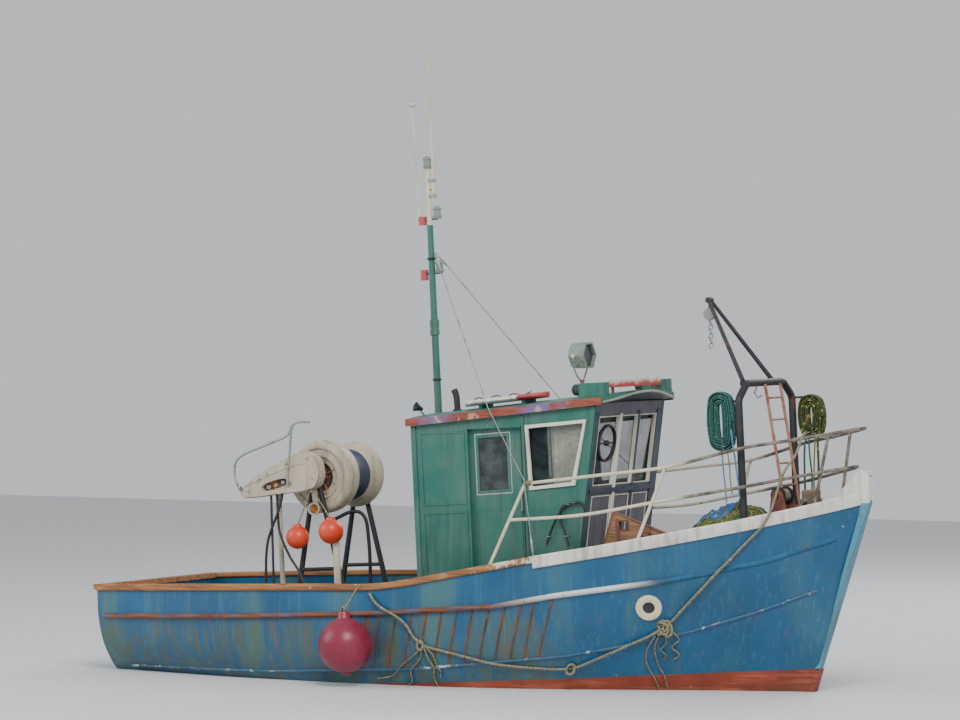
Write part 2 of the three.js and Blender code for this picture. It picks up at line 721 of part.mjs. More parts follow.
// Helm inside the wheelhouse
const helm = { x: 1180, y: -330, z: 1900, radius: 210 };

function makeConsole() {
  const [back, front, deck] = [1120, foredeckStep - 15, mainDeckTop + gap];
  const outline = [[back, deck], [front, deck], [front, 1780], [helm.x, 1820], [back, 1740]];
  const [y, z] = [helm.y, helm.z - 60];
  const bearing = bar([helm.x - 45, y, z], [helm.x + 20, y, z], 34, 34, 24);
  const bore = bar([helm.x - 50, y, z], [helm.x + 19.5, y, z], 14.6, 14.6, 24);
  const bracket = block([helm.x - 40, y - 30, 1790], [helm.x + 60, y + 30, z - 20]);
  add('helm_console', 'bareWood', join([plateAcross(outline, -640, 640), bearing, bracket]).subtract(bore));
}

function makeSteeringWheel() {
  const hub = [helm.x - 95, helm.y, helm.z - 60];
  const rim = new THREE.TorusGeometry(helm.radius, 14, 5, 18).rotateY(Math.PI / 2).translate(...hub);
  const spokes = [0, 1, 2, 3, 4, 5].map((place) => {
    const angle = (Math.PI / 3) * place;
    const reach = helm.radius + 45;
    return bar(hub, [hub[0], hub[1] + reach * Math.cos(angle), hub[2] + reach * Math.sin(angle)], 10, 8, 4);
  });
  const boss = bar([hub[0] - 30, hub[1], hub[2]], [hub[0] + 30, hub[1], hub[2]], 40, 40, 12);
  const shaft = bar([hub[0] + 25, hub[1], hub[2]], [helm.x + 19, hub[1], hub[2]], 14, 14, 24);
  add('steering_wheel', 'steelBlack', join([solidOf(rim), boss, shaft, ...spokes]));
}

// Mast with its pole, lamps and aerials
const mastFoot = [mast.x, 0, mainDeckTop + gap];
const mastPost = (grow) => bar(mastFoot, [mast.x, 0, mast.top], mast.foot + grow, mast.head + grow, 16);

function makeMast() {
  const foot = turnedUpright([[0, 0], [70, 0], [70, 20], [56, 60], [0, 60]], mastFoot, 16);
  const collar = bar([mast.x, 0, 3560], [mast.x, 0, 3720], 48, 48, 16);
  const arms = [[4200, -90, 90], [4760, -130, 92]]
    .map(([z, aft, fore]) => bar([mast.x + aft, 0, z], [mast.x + fore, 0, z], 10, 10, 6));
  const profile = [[0, 0], [46, 0], [46, 20], [36, 24], [36, 100], [30, 130], [0, 132]];
  const lamps = [[90, 4200], [0, 5280], [92, 4760]]
    .map(([away, z]) => turnedUpright(profile, [mast.x + away, 0, z + 5], 10));
  add('mast', 'houseGreen', join([mastPost(0), foot, collar, ...arms, ...lamps]));
}

function makeAerials() {
  const pole = bar([mast.x + 60, 0, 4960], [mast.x + 75, 0, 6700], 17, 12, 10);
  const clamps = [5000, 5160].map((z) => block([mast.x + 15, -14, z], [mast.x + 60, 14, z + 40]));
  add('aerial_pole', 'white', join([pole, ...clamps]).subtract(mastPost(gap)));
  const whip = bar([mast.x - 120, 0, 4770 + gap], [mast.x - 150, 0, 5960], 10, 6, 8);
  const profile = [[0, 0], [14, 0], [14, 30], [52, 45], [50, 75], [25, 95], [0, 98]];
  add('whip_aerial', 'white', whip.add(turnedUpright(profile, [mast.x - 150, 0, 5950], 12)));
}

// Shrouds from the mast over the roof's edge, past the guard rail, to the rail cap
function makeStays() {
  const hounds = 4420;
  const deadeye = [1130, -1262, sheerAt(1130) + railCap.thick - 10];
  const run = [[mast.x + 44, -12, hounds], [440, -house.half - 62, 2800], [1040, -1215, 2062], deadeye];
  const lengths = run.slice(1).map((point, place) => bar(run[place], point, 6, 6, 6));
  const knots = run.slice(1, 3).map((point) => solidOf(new THREE.SphereGeometry(7, 6, 4).translate(...point)));
  const shroud = seated(join([...lengths, ...knots]), bareCap);
  add('shroud_starboard', 'galvanised', shroud);
  add('shroud_port', 'galvanised', mirrored(shroud));
}

// Guard rails: leaning stanchions.
// Columns: x and half-breadth at the foot, x, half-breadth and height at the top
const stanchions = [
  [640, 1318, 1031, 1180, 2022],
  [2210, 1084, 2508, 957, 2136],
  [3820, 330, 3985, 250, 2390],
];
const topRail = [
  [1031, 1180, 2022], [1900, 1105, 2085], [2508, 957, 2134], [3270, 705, 2295],
  [3700, 460, 2350], [3985, 250, 2390], [4180, 120, 2420], [4270, gap, 2434],
];
const lowRail = [
  [850, 1230, 1662], [1650, 1150, 1690], [2360, 1004, 1785], [3200, 740, 1899],
  [3720, 450, 1985], [4050, 190, 2035], [4170, gap, 2055],
];

function makeGuardRails() {
  const pipeRadius = 17;
  const posts = stanchions.map(([x, half, topX, topHalf, topZ]) => {
    const foot = sheerAt(x) + railCap.thick - 20;
    return bar([x, half - 20, foot], [topX, topHalf, topZ], pipeRadius, pipeRadius, 6);
  });
  const side = join([pipe(topRail, pipeRadius, 12, 6), pipe(lowRail, pipeRadius, 10, 6), ...posts]);
  const keepSide = block([0, gap, 0], [farOut, farOut, farOut]);
  const port = seated(seated(side.intersect(keepSide), bareCap), whiteCap);
  add('guard_rail_port', 'beigePipe', port);
  add('guard_rail_starboard', 'beigePipe', mirrored(port));
}

// Bow gantry: a portal of heavy pipe with cut shoulders
function makeGantry() {
  const { x, half, pipe: radius, shoulder, top, shoulderIn } = gantry;
  const foot = foredeckTop(x) - 20;
  const leg = bar([x, half, foot], [x, half, shoulder], radius, radius, 10);
  const slant = bar([x, half, shoulder], [x, half - shoulderIn, top], radius, radius, 10);
  const knuckle = (y, z) => solidOf(new THREE.SphereGeometry(radius * 1.02, 8, 5).translate(x, y, z));
  const flange = turnedUpright([[0, 0], [46, 0], [46, 32], [0, 32]], [x, half, foot], 12);
  const side = join([leg, slant, knuckle(half, shoulder), knuckle(half - shoulderIn, top), flange]);
  const beam = bar([x, shoulderIn - half, top], [x, half - shoulderIn, top], radius, radius, 10);
  const [aft, fore, low, high] = [x - 100, x - 20, top - 30, top + 32];
  const ears = [-1, 1].map((hand) => {
    const y = hand * (derrick.foot + 22);
    return plateAcross([[aft, low], [fore, low], [fore, high], [aft, high]], y - 6, y + 6);
  });
  const earBores = [-1, 1].map((hand) => {
    const [y, bore] = [hand * derrick.foot, 11.2];
    return bar([x - 70, y + 60, top], [x - 70, y - 60, top], bore, bore, 24);
  });
  const arms = hanks.map(({ y, reach }) => bar([x, y, pegs.z], [x + reach, y, pegs.z], pegs.radius, pegs.radius, 6));
  const shape = join([side, mirrored(side), beam, ...ears, ...arms]);
  const bored = earBores.reduce((left, bore) => left.subtract(bore), shape);
  add('bow_gantry', 'steelBlack', seated(bored, foredeck));
}

// Rope hanks hung on pegs, one on each leg of the gantry, as closed solids of their outer shape
const hanks = [
  { name: 'hank_starboard', x: 2975, y: -600, z: 2575, halfWide: 155, halfHigh: 300, thick: 100, reach: -205 },
  { name: 'hank_port', x: 3395, y: 600, z: 2575, halfWide: 150, halfHigh: 225, thick: 110, reach: 215 },
];

const pegs = { z: 2760, radius: 12 };

function makeHanks() {
  hanks.forEach(({ name, x, y, z, halfWide, halfHigh, thick, reach }) => {
    const straight = halfHigh - halfWide;
    const shape = new THREE.Shape();
    shape.absarc(0, straight, halfWide, 0, Math.PI, false);
    shape.absarc(0, -straight, halfWide, Math.PI, 2 * Math.PI, false);
    const bevel = 15;
    const depth = thick - 2 * bevel;
    const options = {
      depth, bevelThickness: bevel, bevelSize: bevel, bevelOffset: -bevel, bevelSegments: 1, curveSegments: 6,
    };
    const body = new THREE.ExtrudeGeometry(shape, options).translate(0, 0, -depth / 2).rotateX(Math.PI / 2);
    const [end, bore] = [gantry.x + reach + Math.sign(reach) * 2, pegs.radius + gap];
    const room = bar([gantry.x, y, pegs.z], [end, y, pegs.z], bore, bore, 6);
    add(name, 'netGreen', solidOf(body.translate(x, y, z)).subtract(room));
  });
}

// Two-legged derrick hinged on the gantry, its head leaning aft, with a block and a chain
const derrick = { foot: 330, headX: 2602, headZ: 3783, pipe: 24 };

function makeDerrick() {
  const hingeX = gantry.x - 70;
  const head = [derrick.headX, 0, derrick.headZ];
  const leg = (hand) => {
    const foot = [hingeX - 18, hand * derrick.foot * 0.97, gantry.top + 42];
    return bar(foot, [head[0], hand * 22, head[2]], derrick.pipe, derrick.pipe * 0.8, 8);
  };
  const eye = (hand) => {
    const y = hand * derrick.foot;
    const boss = bar([hingeX, y - 14, gantry.top], [hingeX, y + 14, gantry.top], 22, 22, 14);
    const tongue = bar([hingeX, y, gantry.top], [hingeX - 22, y * 0.97, gantry.top + 50], 13, 13, 6);
    const pin = bar([hingeX, y - 30, gantry.top], [hingeX, y + 30, gantry.top], 10.6, 10.6, 24);
    return join([boss, tongue, pin]);
  };
  const cap = bar([head[0], -46, head[2]], [head[0], 46, head[2]], 30, 30, 10);
  const hook = bar([head[0] - 4, 0, head[2] - 76 + gap], [head[0] - 4, 0, head[2]], 12, 12, 8);
  add('derrick', 'steelBlack', join([leg(-1), leg(1), eye(-1), eye(1), cap, hook]));
  const cheek = bar([head[0] - 4, -26, head[2] - 140], [head[0] - 4, 26, head[2] - 140], 64, 64, 14);
  const strap = block([head[0] - 18, -14, head[2] - 110], [head[0] + 10, 14, head[2] - 76]);
  const links = [0, 1, 2, 3, 4, 5].map((place) => {
    const z = head[2] - 226 - 46.5 * place;
    const link = new THREE.TorusGeometry(22, 7, 4, 8).scale(1, 1.35, 1);
    link.rotateX(Math.PI / 2);
    if (place % 2 === 1) {
      link.rotateZ(Math.PI / 2);
    }
    return solidOf(link.translate(head[0] - 4, 0, z));
  });
  add('derrick_block', 'galvanised', join([cheek, strap, ...links]));
}

// Ladder from the foredeck to the gantry beam: two stiles and rungs
function makeLadder() {
  const [foot, head] = [[3420, foredeckTop(3420) - 10], [gantry.x + 50, gantry.top + 20]];
  const stile = (y) => bar([foot[0], y, foot[1]], [head[0], y, head[1]], 16, 16, 6);
  const rungs = stepsBetween(0.14, 0.88, 5).map((share) => {
    const x = foot[0] + share * (head[0] - foot[0]);
    const z = foot[1] + share * (head[1] - foot[1]);
    return bar([x, -100, z], [x, 240, z], 10, 10, 6);
  });
  const room = gantry.pipe + gap;
  const beam = bar([gantry.x, -400, gantry.top], [gantry.x, 400, gantry.top], room, room, 10);
  add('ladder', 'rust', seated(join([stile(-100), stile(240), ...rungs]), foredeck).subtract(beam));
}

// Mooring bitts on the foredeck: two posts and a cross bar
function makeBitts() {
  const x = 3640;
  const foot = foredeckTop(x) - 12;
  const post = (y) => block([x - 45, y - 45, foot], [x + 45, y + 45, foot + 330]);
  const cross = bar([x, -210, foot + 220], [x, 210, foot + 220], 28, 28, 10);
  add('mooring_bitts', 'bareWood', seated(join([post(-95), post(95), cross]), foredeck));
}

// Hand winch on the foredeck: frame and a drum that turns
const winch = { x: 3480, y: -330, z: 1800, half: 110 };

function makeWinch() {
  const cheek = (hand) => {
    const y = winch.y + hand * winch.half;
    const [aft, fore, top] = [winch.x - 130, winch.x + 130, winch.z + 55];
    const feet = [[aft, foredeckTop(aft) - 10], [fore, foredeckTop(fore) - 10]];
    const outline = [...feet, [fore - 85, top], [aft + 85, top]];
    const bore = bar([winch.x, y - 20, winch.z], [winch.x, y + 20, winch.z], 18.8, 18.8, 24);
    return plateAcross(outline, y - 8, y + 8).subtract(bore);
  };
  const [low, port, starboard] = [1660, winch.y + winch.half, winch.y - winch.half];
  const tie = bar([winch.x - 75, starboard, low], [winch.x - 75, port, low], 12, 12, 8);
  add('winch_frame', 'rust', seated(join([cheek(-1), cheek(1), tie]), foredeck));
  const reach = winch.half - 14;
  const half = [[0, -reach - 55], [18, -reach - 55], [18, -reach], [85, -reach], [85, -reach + 12], [45, -reach + 12]];
  const profile = [...half, ...half.map(([radius, along]) => [radius, -along]).reverse()];
  add('winch_drum', 'steelBlack', turnedAcross(profile, [winch.x, winch.y, winch.z], 16));
}

// Net drum: a near flange, a dark core and a flared far flange on one axle
function makeNetDrum() {
  const { near, far, axle } = drum;
  const stub = axle - 5;
  const profile = [[0, near - 95], [stub, near - 95], [stub, near - 40], [75, near - 36], [75, near + 6],
    [205, near + 6], [215, near - 14], [240, near + 4], [285, near + 4], [300, near - 12], [345, near - 4],
    [372, near + 30], [380, near + 120], [352, near + 290], [205, near + 345], [205, far - 250], [290, far - 110],
    [340, far], [318, far], [262, far - 100], [75, far - 150], [75, far + 2], [stub, far + 6], [stub, far + 95],
    [0, far + 95]];
  add('net_drum', 'drumCream', turnedAcross(profile, [drum.x, 0, drum.z], 16));
}

// Stand: a post and bearing at each end of the drum's axle, braced fore and aft
function makeDrumStand() {
  const side = (y) => {
    const bearing = bar([drum.x, y - 22, drum.z], [drum.x, y + 22, drum.z], 88, 88, 14);
    const legs = [-330, 330]
      .map((away) => bar([drum.x + away, y, mainDeckTop + 8], [drum.x + away * 0.1, y, drum.z - 60], 30, 26, 8));
    const sill = block([drum.x - 400, y - 45, mainDeckTop + gap], [drum.x + 400, y + 45, mainDeckTop + 16]);
    const tie = bar([drum.x - 205, y, 1200], [drum.x + 205, y, 1200], 20, 20, 6);
    return join([bearing, ...legs, sill, tie]);
  };
  const bore = drum.axle - 4.2;
  const bores = drum.posts
    .map((y) => bar([drum.x, y - 28, drum.z], [drum.x, y + 28, drum.z], bore, bore, 24));
  const cross = [-380, 380].map((away) => {
    const x = drum.x + away;
    return block([x - 20, drum.posts[0], mainDeckTop + gap], [x + 20, drum.posts[1], mainDeckTop + 16]);
  });
  const shape = join([...drum.posts.map(side), ...cross]);
  add('drum_stand', 'steelBlack', bores.reduce((left, bore) => left.subtract(bore), shape));
}

// Drive case beside the drum: a long tapered housing with a slot, a motor and a pull frame
function driveCaseBody() {
  const [yLow, yHigh] = [-840, -710];
  const outline = [[-1560, 2200], [-1590, 2330], [-1720, 2420], [-1900, 2380], [-2300, 2200], [-2520, 2040],
    [-2530, 1990], [-2480, 1965], [-2050, 1990], [-1720, 2020], [-1610, 2060]];
  const slot = [[-2260, 2060], [-2230, 2030], [-1980, 2080], [-1950, 2120], [-1980, 2150], [-2230, 2095]];
  const axleHole = bar([drum.x, yLow + 40, drum.z], [drum.x, yHigh + 10, drum.z], 60, 60, 16);
  const arm = bar([-2150, -690, 2090], [-2150, -715, 2090], 30, 30, 8);
  const shell = plateAcross(outline, yLow, yHigh, [slot]).subtract(axleHole);
  const prop = bar([-2150, -680, mainDeckTop + gap], [-2150, -680, 2110], 26, 26, 8);
  return join([shell, arm, prop]);
}

const driveCase = driveCaseBody();

function makeDriveCase() {
  add('drive_case', 'drumCream', driveCase);
}

function makeCaseFrame() {
  const y = -875;
  const radius = 13;
  const bends = [[-2510, 2060], [-2555, 2200], [-2535, 2340], [-2470, 2400], [-2150, 2510], [-1900, 2600],
    [-1840, 2690], [-1780, 2725], [-1630, 2725]];
  const runs = [
    pipe(bends.map(([x, z]) => [x, y, z]), radius, 18, 6),
    bar([-1845, y, 2690], [-1925, y, 2100], radius, radius, 6),
  ];
  const feet = [[-2510, 2060], [-1925, 2115]]
    .map(([x, z]) => bar([x, y, z], [x, -840 - gap, z], radius, radius, 6));
  add('case_frame', 'galvanised', join([...runs, ...feet]));
}

// Deck hatch over the fish room, abaft the drum
const hatch = { aft: -3350, fore: -2650, half: 350, coaming: 160, wall: 40 };

function makeHatch() {
  const foot = mainDeckTop + gap;
  const top = mainDeckTop + hatch.coaming;
  const ring = block([hatch.aft, -hatch.half, foot], [hatch.fore, hatch.half, top])
    .subtract(block([hatch.aft + hatch.wall, hatch.wall - hatch.half, foot - 10],
      [hatch.fore - hatch.wall, hatch.half - hatch.wall, top + 10]));
  const hingeX = hatch.fore + 26;
  const knuckle = (y) => bar([hingeX, y - 30, top + 20], [hingeX, y + 30, top + 20], 16, 16, 12)
    .add(block([hatch.fore - 5, y - 30, top - 60], [hingeX + 16, y + 30, top + 18]));
  const bore = (y) => bar([hingeX, y - 31, top + 20], [hingeX, y + 31, top + 20], 8.4, 8.4, 24);
  const body = [-200, 200].reduce((left, y) => left.add(knuckle(y)).subtract(bore(y)), ring);
  add('hatch_coaming', 'bareWood', body);
  const wide = hatch.half + 25;
  const lid = block([hatch.aft - 25, -wide, top + gap], [hatch.fore - 8, wide, top + 42]);
  const arm = (y) => block([hatch.fore - 12, y - 14, top + 24], [hingeX, y + 14, top + 42])
    .add(bar([hingeX, y - 14, top + 20], [hingeX, y + 14, top + 20], 16, 16, 12));
  const pin = (from, to) => bar([hingeX, from, top + 20], [hingeX, to, top + 20], 7.8, 7.8, 24);
  const arms = [-150, 150].map((y) => arm(y)).concat([pin(-228, -150), pin(150, 228)]);
  add('hatch_lid', 'deckPaint', join([lid, ...arms]));
}

// Two net floats hung by one line from the drive case
function makeFloats() {
  const ball = ([x, y, z], radius) => solidOf(new THREE.SphereGeometry(radius, 12, 8).translate(x, y, z));
  const places = [[-1851, -842, 1540], [-1449, -842, 1592]];
  const tie = [-1690, -800, 2045];
  const lines = places.map((place) => bar(place, tie, 8, 8, 6));
  const knot = bar([tie[0], tie[1], tie[2] - 50], tie, 18, 18, 8);
  const hung = join([ball(places[0], 120), ball(places[1], 130), ...lines, knot]);
  add('floats', 'orange', hung.subtract(driveCase.translate([0, 0, -gap])));
}

// Net heaped along the starboard side of the foredeck
function makeNetHeap() {
  const [from, to, high] = [2620, 3325, 320];
  const rings = stepsBetween(from, to, 8).map((x, place) => {
    const deck = foredeckTop(x);
    const rise = high * Math.sqrt(Math.sin(Math.PI * (0.08 + (0.84 * place) / 8)));
    const outer = -(breadthAt(x, deck) - planking - 20);
    const inner = outer + 620;
    return [[x, outer, deck - 10], [x, inner, deck - 10], [x, inner - 60, deck + 0.55 * rise],
      [x, inner - 230, deck + 0.95 * rise], [x, outer + 240, deck + rise],
      [x, outer + 110, deck + 0.72 * rise],
      [x, outer, deck + 50]];
  });
  const { x: legX, half } = gantry;
  const legRoom = block([legX - 62, -half - farOut, 0], [legX + 62, 62 - half, farOut]);
  add('net_heap', 'netGreen', seated(loft(rings), foredeck).subtract(legRoom));
}

// Otter board stood on its shoe on the foredeck, before the wheelhouse
function makeOtterBoard() {
  const [aft, fore, y, half] = [1640, 2420, -800, 25];
  const [low, high] = [foredeckTop(aft) - 12, foredeckTop(fore) - 12];
  const outline = [[aft, low], [fore, high], [fore - 8, high + 125], [fore - 29, high + 180], [aft + 176, low + 515]];
  const hole = [[aft + 205, low + 310], [aft + 355, low + 315], [aft + 355, low + 420], [aft + 210, low + 425]];
  const board = plateAcross(outline, y - half, y + half).subtract(plateAcross(hole, y - 2 * half, y + 2 * half));
  const shoe = plateAcross([[aft, low], [fore, high], [fore, high + 55], [aft, low + 55]], y - 60, y + 60);
  add('otter_board', 'rust', seated(board.add(shoe), foredeck));
}

// Old rope slung along the starboard side: taut from the guard rail over the cap and the strake to a knot,
// then slack along the planking and up to the rail cap. Columns: x, height, distance off the planking
const hullRope = { radius: 15, steps: 66 };
const ropeAtStrake = [2929, 1045, 55.5];
const ropeKnot = [2414, 568, 50];
const slackRope = [
  [2240, 465, 48], [1966, 352, 50], [1702, 250, 46], [1392, 150, 24], [1011, 168, 22], [627, 228, 44],
  [332, 310, 30], [90, 373, 22], [-80, 423, 22], [-205, 520, 22], [-270, 640, 36], [-390, 745, 57],
  [-500, 800, 57], [-620, 880, 40], [-690, 968, 22],
];

function makeHullRope() {
  const start = [
    [3770, -335, 2375], [3795, -398, 2414], [3788, -458, 2368], [3745, -512, 2215], [3640, -600, 2030],
  ];
  const beside = (x, z) => [x, -(breadthAt(x, Math.min(z, sheerAt(x) - 1)) + railCap.outside + 15.6), z];
  const overCap = beside(3500, sheerAt(3500) + railCap.thick);
  const underCap = beside(3410, sheerAt(3410) - railCap.apron);
  const onHull = ([x, z, off]) => [x, -(breadthAt(x, z) + off), z];
  const mixed = (from, to, share) => from.map((value, axis) => value + share * (to[axis] - value));
  const between = (from, to) => [0.3, 0.7].map((share) => mixed(from, to, share));
  const [strake, knot] = [onHull(ropeAtStrake), onHull(ropeKnot)];
  const descent = [...between(underCap, strake), strake, ...between(strake, knot), knot];
  const route = [...start, overCap, underCap, ...descent];
  add('hull_rope', 'rope', pipe([...route, ...slackRope.map(onHull)], hullRope.radius, hullRope.steps));
}

function makeFender() {
  const radius = 275;
  const [x, z] = [-824, 463];
  const y = -(breadthAt(x, 750) + 42 + radius + 2);
  const ball = new THREE.SphereGeometry(radius, 16, 10).translate(x, y, z);
  const neck = bar([x, y, z + radius - 20], [x, y, z + radius + 45], 40, 28, 10);
  const rim = [x, -(breadthAt(x, sheerAt(x) - 20) + 5), sheerAt(x) + 25];
  const lanyard = bar([x, y, z + radius + 30], rim, 9, 9, 6);
  const cap = bareCap.translate([0, -gap, 0]);
  add('fender', 'fenderRed', join([solidOf(ball), neck, lanyard.subtract(cap).decompose()[0]]));
}

// Steering and propulsion
function makeRudder() {
  const { x, stock, low, high } = rudder;
  const shoulder = high - 210;
  const outline = [[x + 60, low], [x - 380, low + 30], [x - 420, low + 250], [x - 360, shoulder], [x + 70, shoulder]];
  const blade = plateAcross(outline, -16, 16);
  const spindle = bar([x, 0, low], [x, 0, 290], stock, stock, 24);
  const pintle = bar([x, 0, low - 50], [x, 0, low + 20], 16, 16, 24);
  add('rudder', 'antifouling', join([blade, spindle, pintle]));
}

function makePropeller() {
  const { x, z, radius, shaft, hub } = propeller;
  const spindle = bar([x + 300, 0, z], [x, 0, z], shaft, shaft, 24);
  const boss = bar([x + 12, 0, z], [x - 130, 0, z], hub, hub * 0.55, 14);
  const blade = (turn) => {
    const outline = new THREE.Shape();
    outline.moveTo(-35, 0);
    outline.quadraticCurveTo(-150, radius * 0.55, -60, radius * 0.93);
    outline.quadraticCurveTo(0, radius * 1.02, 60, radius * 0.93);
    outline.quadraticCurveTo(150, radius * 0.55, 35, 0);
    const options = { depth: 12, bevelEnabled: false, curveSegments: 4 };
    const leaf = new THREE.ExtrudeGeometry(outline, options).translate(0, 20, -6);
    leaf.rotateY(THREE.MathUtils.degToRad(52)).rotateX(Math.PI / 2).rotateX(turn).translate(x - 55, 0, z);
    return solidOf(leaf);
  };
  const blades = [0, 1, 2].map((place) => blade((2 * Math.PI * place) / 3));
  add('propeller', 'bronze', join([spindle, boss, ...blades]));
}

makeHull();
makeBackbone();
makeRailCap();
makeStrakes();
makeDecks();
makeEngine();
makeHouseSides();
makeHouseFront();
makeHouseBack();
makeDoor();
makeDoorRunners();
makeGlass();
makeRoof();
makeRoofFascia();
makeRoofFittings();
makeRescueBoard();
makeFloodlight();
makeConsole();
makeSteeringWheel();
makeMast();
makeAerials();
makeStays();
makeGuardRails();
makeGantry();
makeHanks();
makeDerrick();
makeLadder();
makeBitts();
makeWinch();
makeNetDrum();
makeDrumStand();
makeDriveCase();
makeCaseFrame();
makeHatch();
makeFloats();
makeNetHeap();
makeOtterBoard();
makeHullRope();
makeFender();
makeRudder();
makePropeller();

export default trawler;
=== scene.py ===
# A small wooden fishing trawler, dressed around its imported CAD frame.
# Shapes are worked out in the boat's own level frame, in metres: +X to the bow, +Y to port, +Z up.
# Every mesh is then turned by the trim, as the CAD part is.
import json
import math
import random

import bmesh
import bpy
import numpy as np
from mathutils import Matrix, Vector, noise
from mathutils.geometry import tessellate_polygon

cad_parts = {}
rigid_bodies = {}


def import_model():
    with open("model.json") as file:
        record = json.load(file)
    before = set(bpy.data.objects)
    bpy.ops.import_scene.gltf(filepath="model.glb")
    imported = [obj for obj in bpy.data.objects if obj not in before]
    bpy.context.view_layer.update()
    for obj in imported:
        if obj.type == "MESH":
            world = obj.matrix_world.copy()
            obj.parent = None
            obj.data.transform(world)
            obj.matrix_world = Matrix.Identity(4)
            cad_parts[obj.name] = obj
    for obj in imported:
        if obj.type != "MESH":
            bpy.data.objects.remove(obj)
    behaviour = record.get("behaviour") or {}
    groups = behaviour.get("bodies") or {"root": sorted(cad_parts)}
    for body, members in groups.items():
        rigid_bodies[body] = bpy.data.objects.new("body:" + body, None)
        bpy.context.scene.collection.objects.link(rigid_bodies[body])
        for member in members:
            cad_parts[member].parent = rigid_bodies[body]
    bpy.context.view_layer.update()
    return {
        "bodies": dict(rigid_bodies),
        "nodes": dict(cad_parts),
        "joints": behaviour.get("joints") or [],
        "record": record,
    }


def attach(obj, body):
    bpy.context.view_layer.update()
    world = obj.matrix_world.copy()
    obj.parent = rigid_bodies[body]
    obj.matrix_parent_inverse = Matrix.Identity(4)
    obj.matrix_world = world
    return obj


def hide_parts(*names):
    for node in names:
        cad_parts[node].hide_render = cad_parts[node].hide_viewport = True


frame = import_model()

boat = {"trim": 3.0, "gap": 0.0003}
trimTurn = Matrix.Rotation(math.radians(-boat["trim"]), 4, "Y")


def inWorld(point):
    return trimTurn @ Vector(point)


# Camera at the photograph's viewing angle, with the boat filling the frame
view = {
    "place": (30.597, -55.889, 5.0),
    "aim": (-0.245, 0.0, 3.274),
    "lens": 232.5,
    "sensor": 36.0,
}


def addCamera():
    camera = bpy.data.objects.new("camera", bpy.data.cameras.new("camera"))
    bpy.context.scene.collection.objects.link(camera)
    camera.location = view["place"]
    towards = Vector(view["aim"]) - camera.location
    camera.rotation_euler = towards.to_track_quat("-Z", "Y").to_euler()
    camera.data.lens = view["lens"]
    camera.data.sensor_width = view["sensor"]
    camera.data.clip_end = 400
    bpy.context.scene.camera = camera


addCamera()
print("camera set")


def linear(hexCode):
    # a screen colour as the shader's linear numbers
    def channel(value):
        value /= 255
        return value / 12.92 if value <= 0.04045 else ((value + 0.055) / 1.055) ** 2.4
    return tuple(channel(int(hexCode[i:i + 2], 16)) for i in (0, 2, 4))


# Shader expressions: a wire stands for a number or a colour that varies over the surface


class Wire:
    def __init__(self, paint, socket):
        self.paint = paint
        self.socket = socket

    def math(self, operation, *others):
        return self.paint.node("ShaderNodeMath", {"operation": operation}, [self, *others])[0]

    def __add__(self, other):
        return self.math("ADD", other)

    def __radd__(self, other):
        return self.math("ADD", other)

    def __sub__(self, other):
        return self.math("SUBTRACT", other)

    def __rsub__(self, other):
        return self.paint.node("ShaderNodeMath", {"operation": "SUBTRACT"}, [other, self])[0]

    def __mul__(self, other):
        return self.math("MULTIPLY", other)

    def __rmul__(self, other):
        return self.math("MULTIPLY", other)

    def __truediv__(self, other):
        return self.math("DIVIDE", other)

    def __pow__(self, other):
        return self.math("POWER", other)

    def above(self, edge, soft):
        # 0 below the edge, 1 above it, over a soft band
        return self.paint.node(
            "ShaderNodeMapRange",
            {"interpolation_type": "SMOOTHSTEP"},
            {"Value": self, "From Min": edge - soft, "From Max": edge + soft},
        )[0]

    def limited(self):
        return self.paint.node("ShaderNodeClamp", {}, {"Value": self})[0]


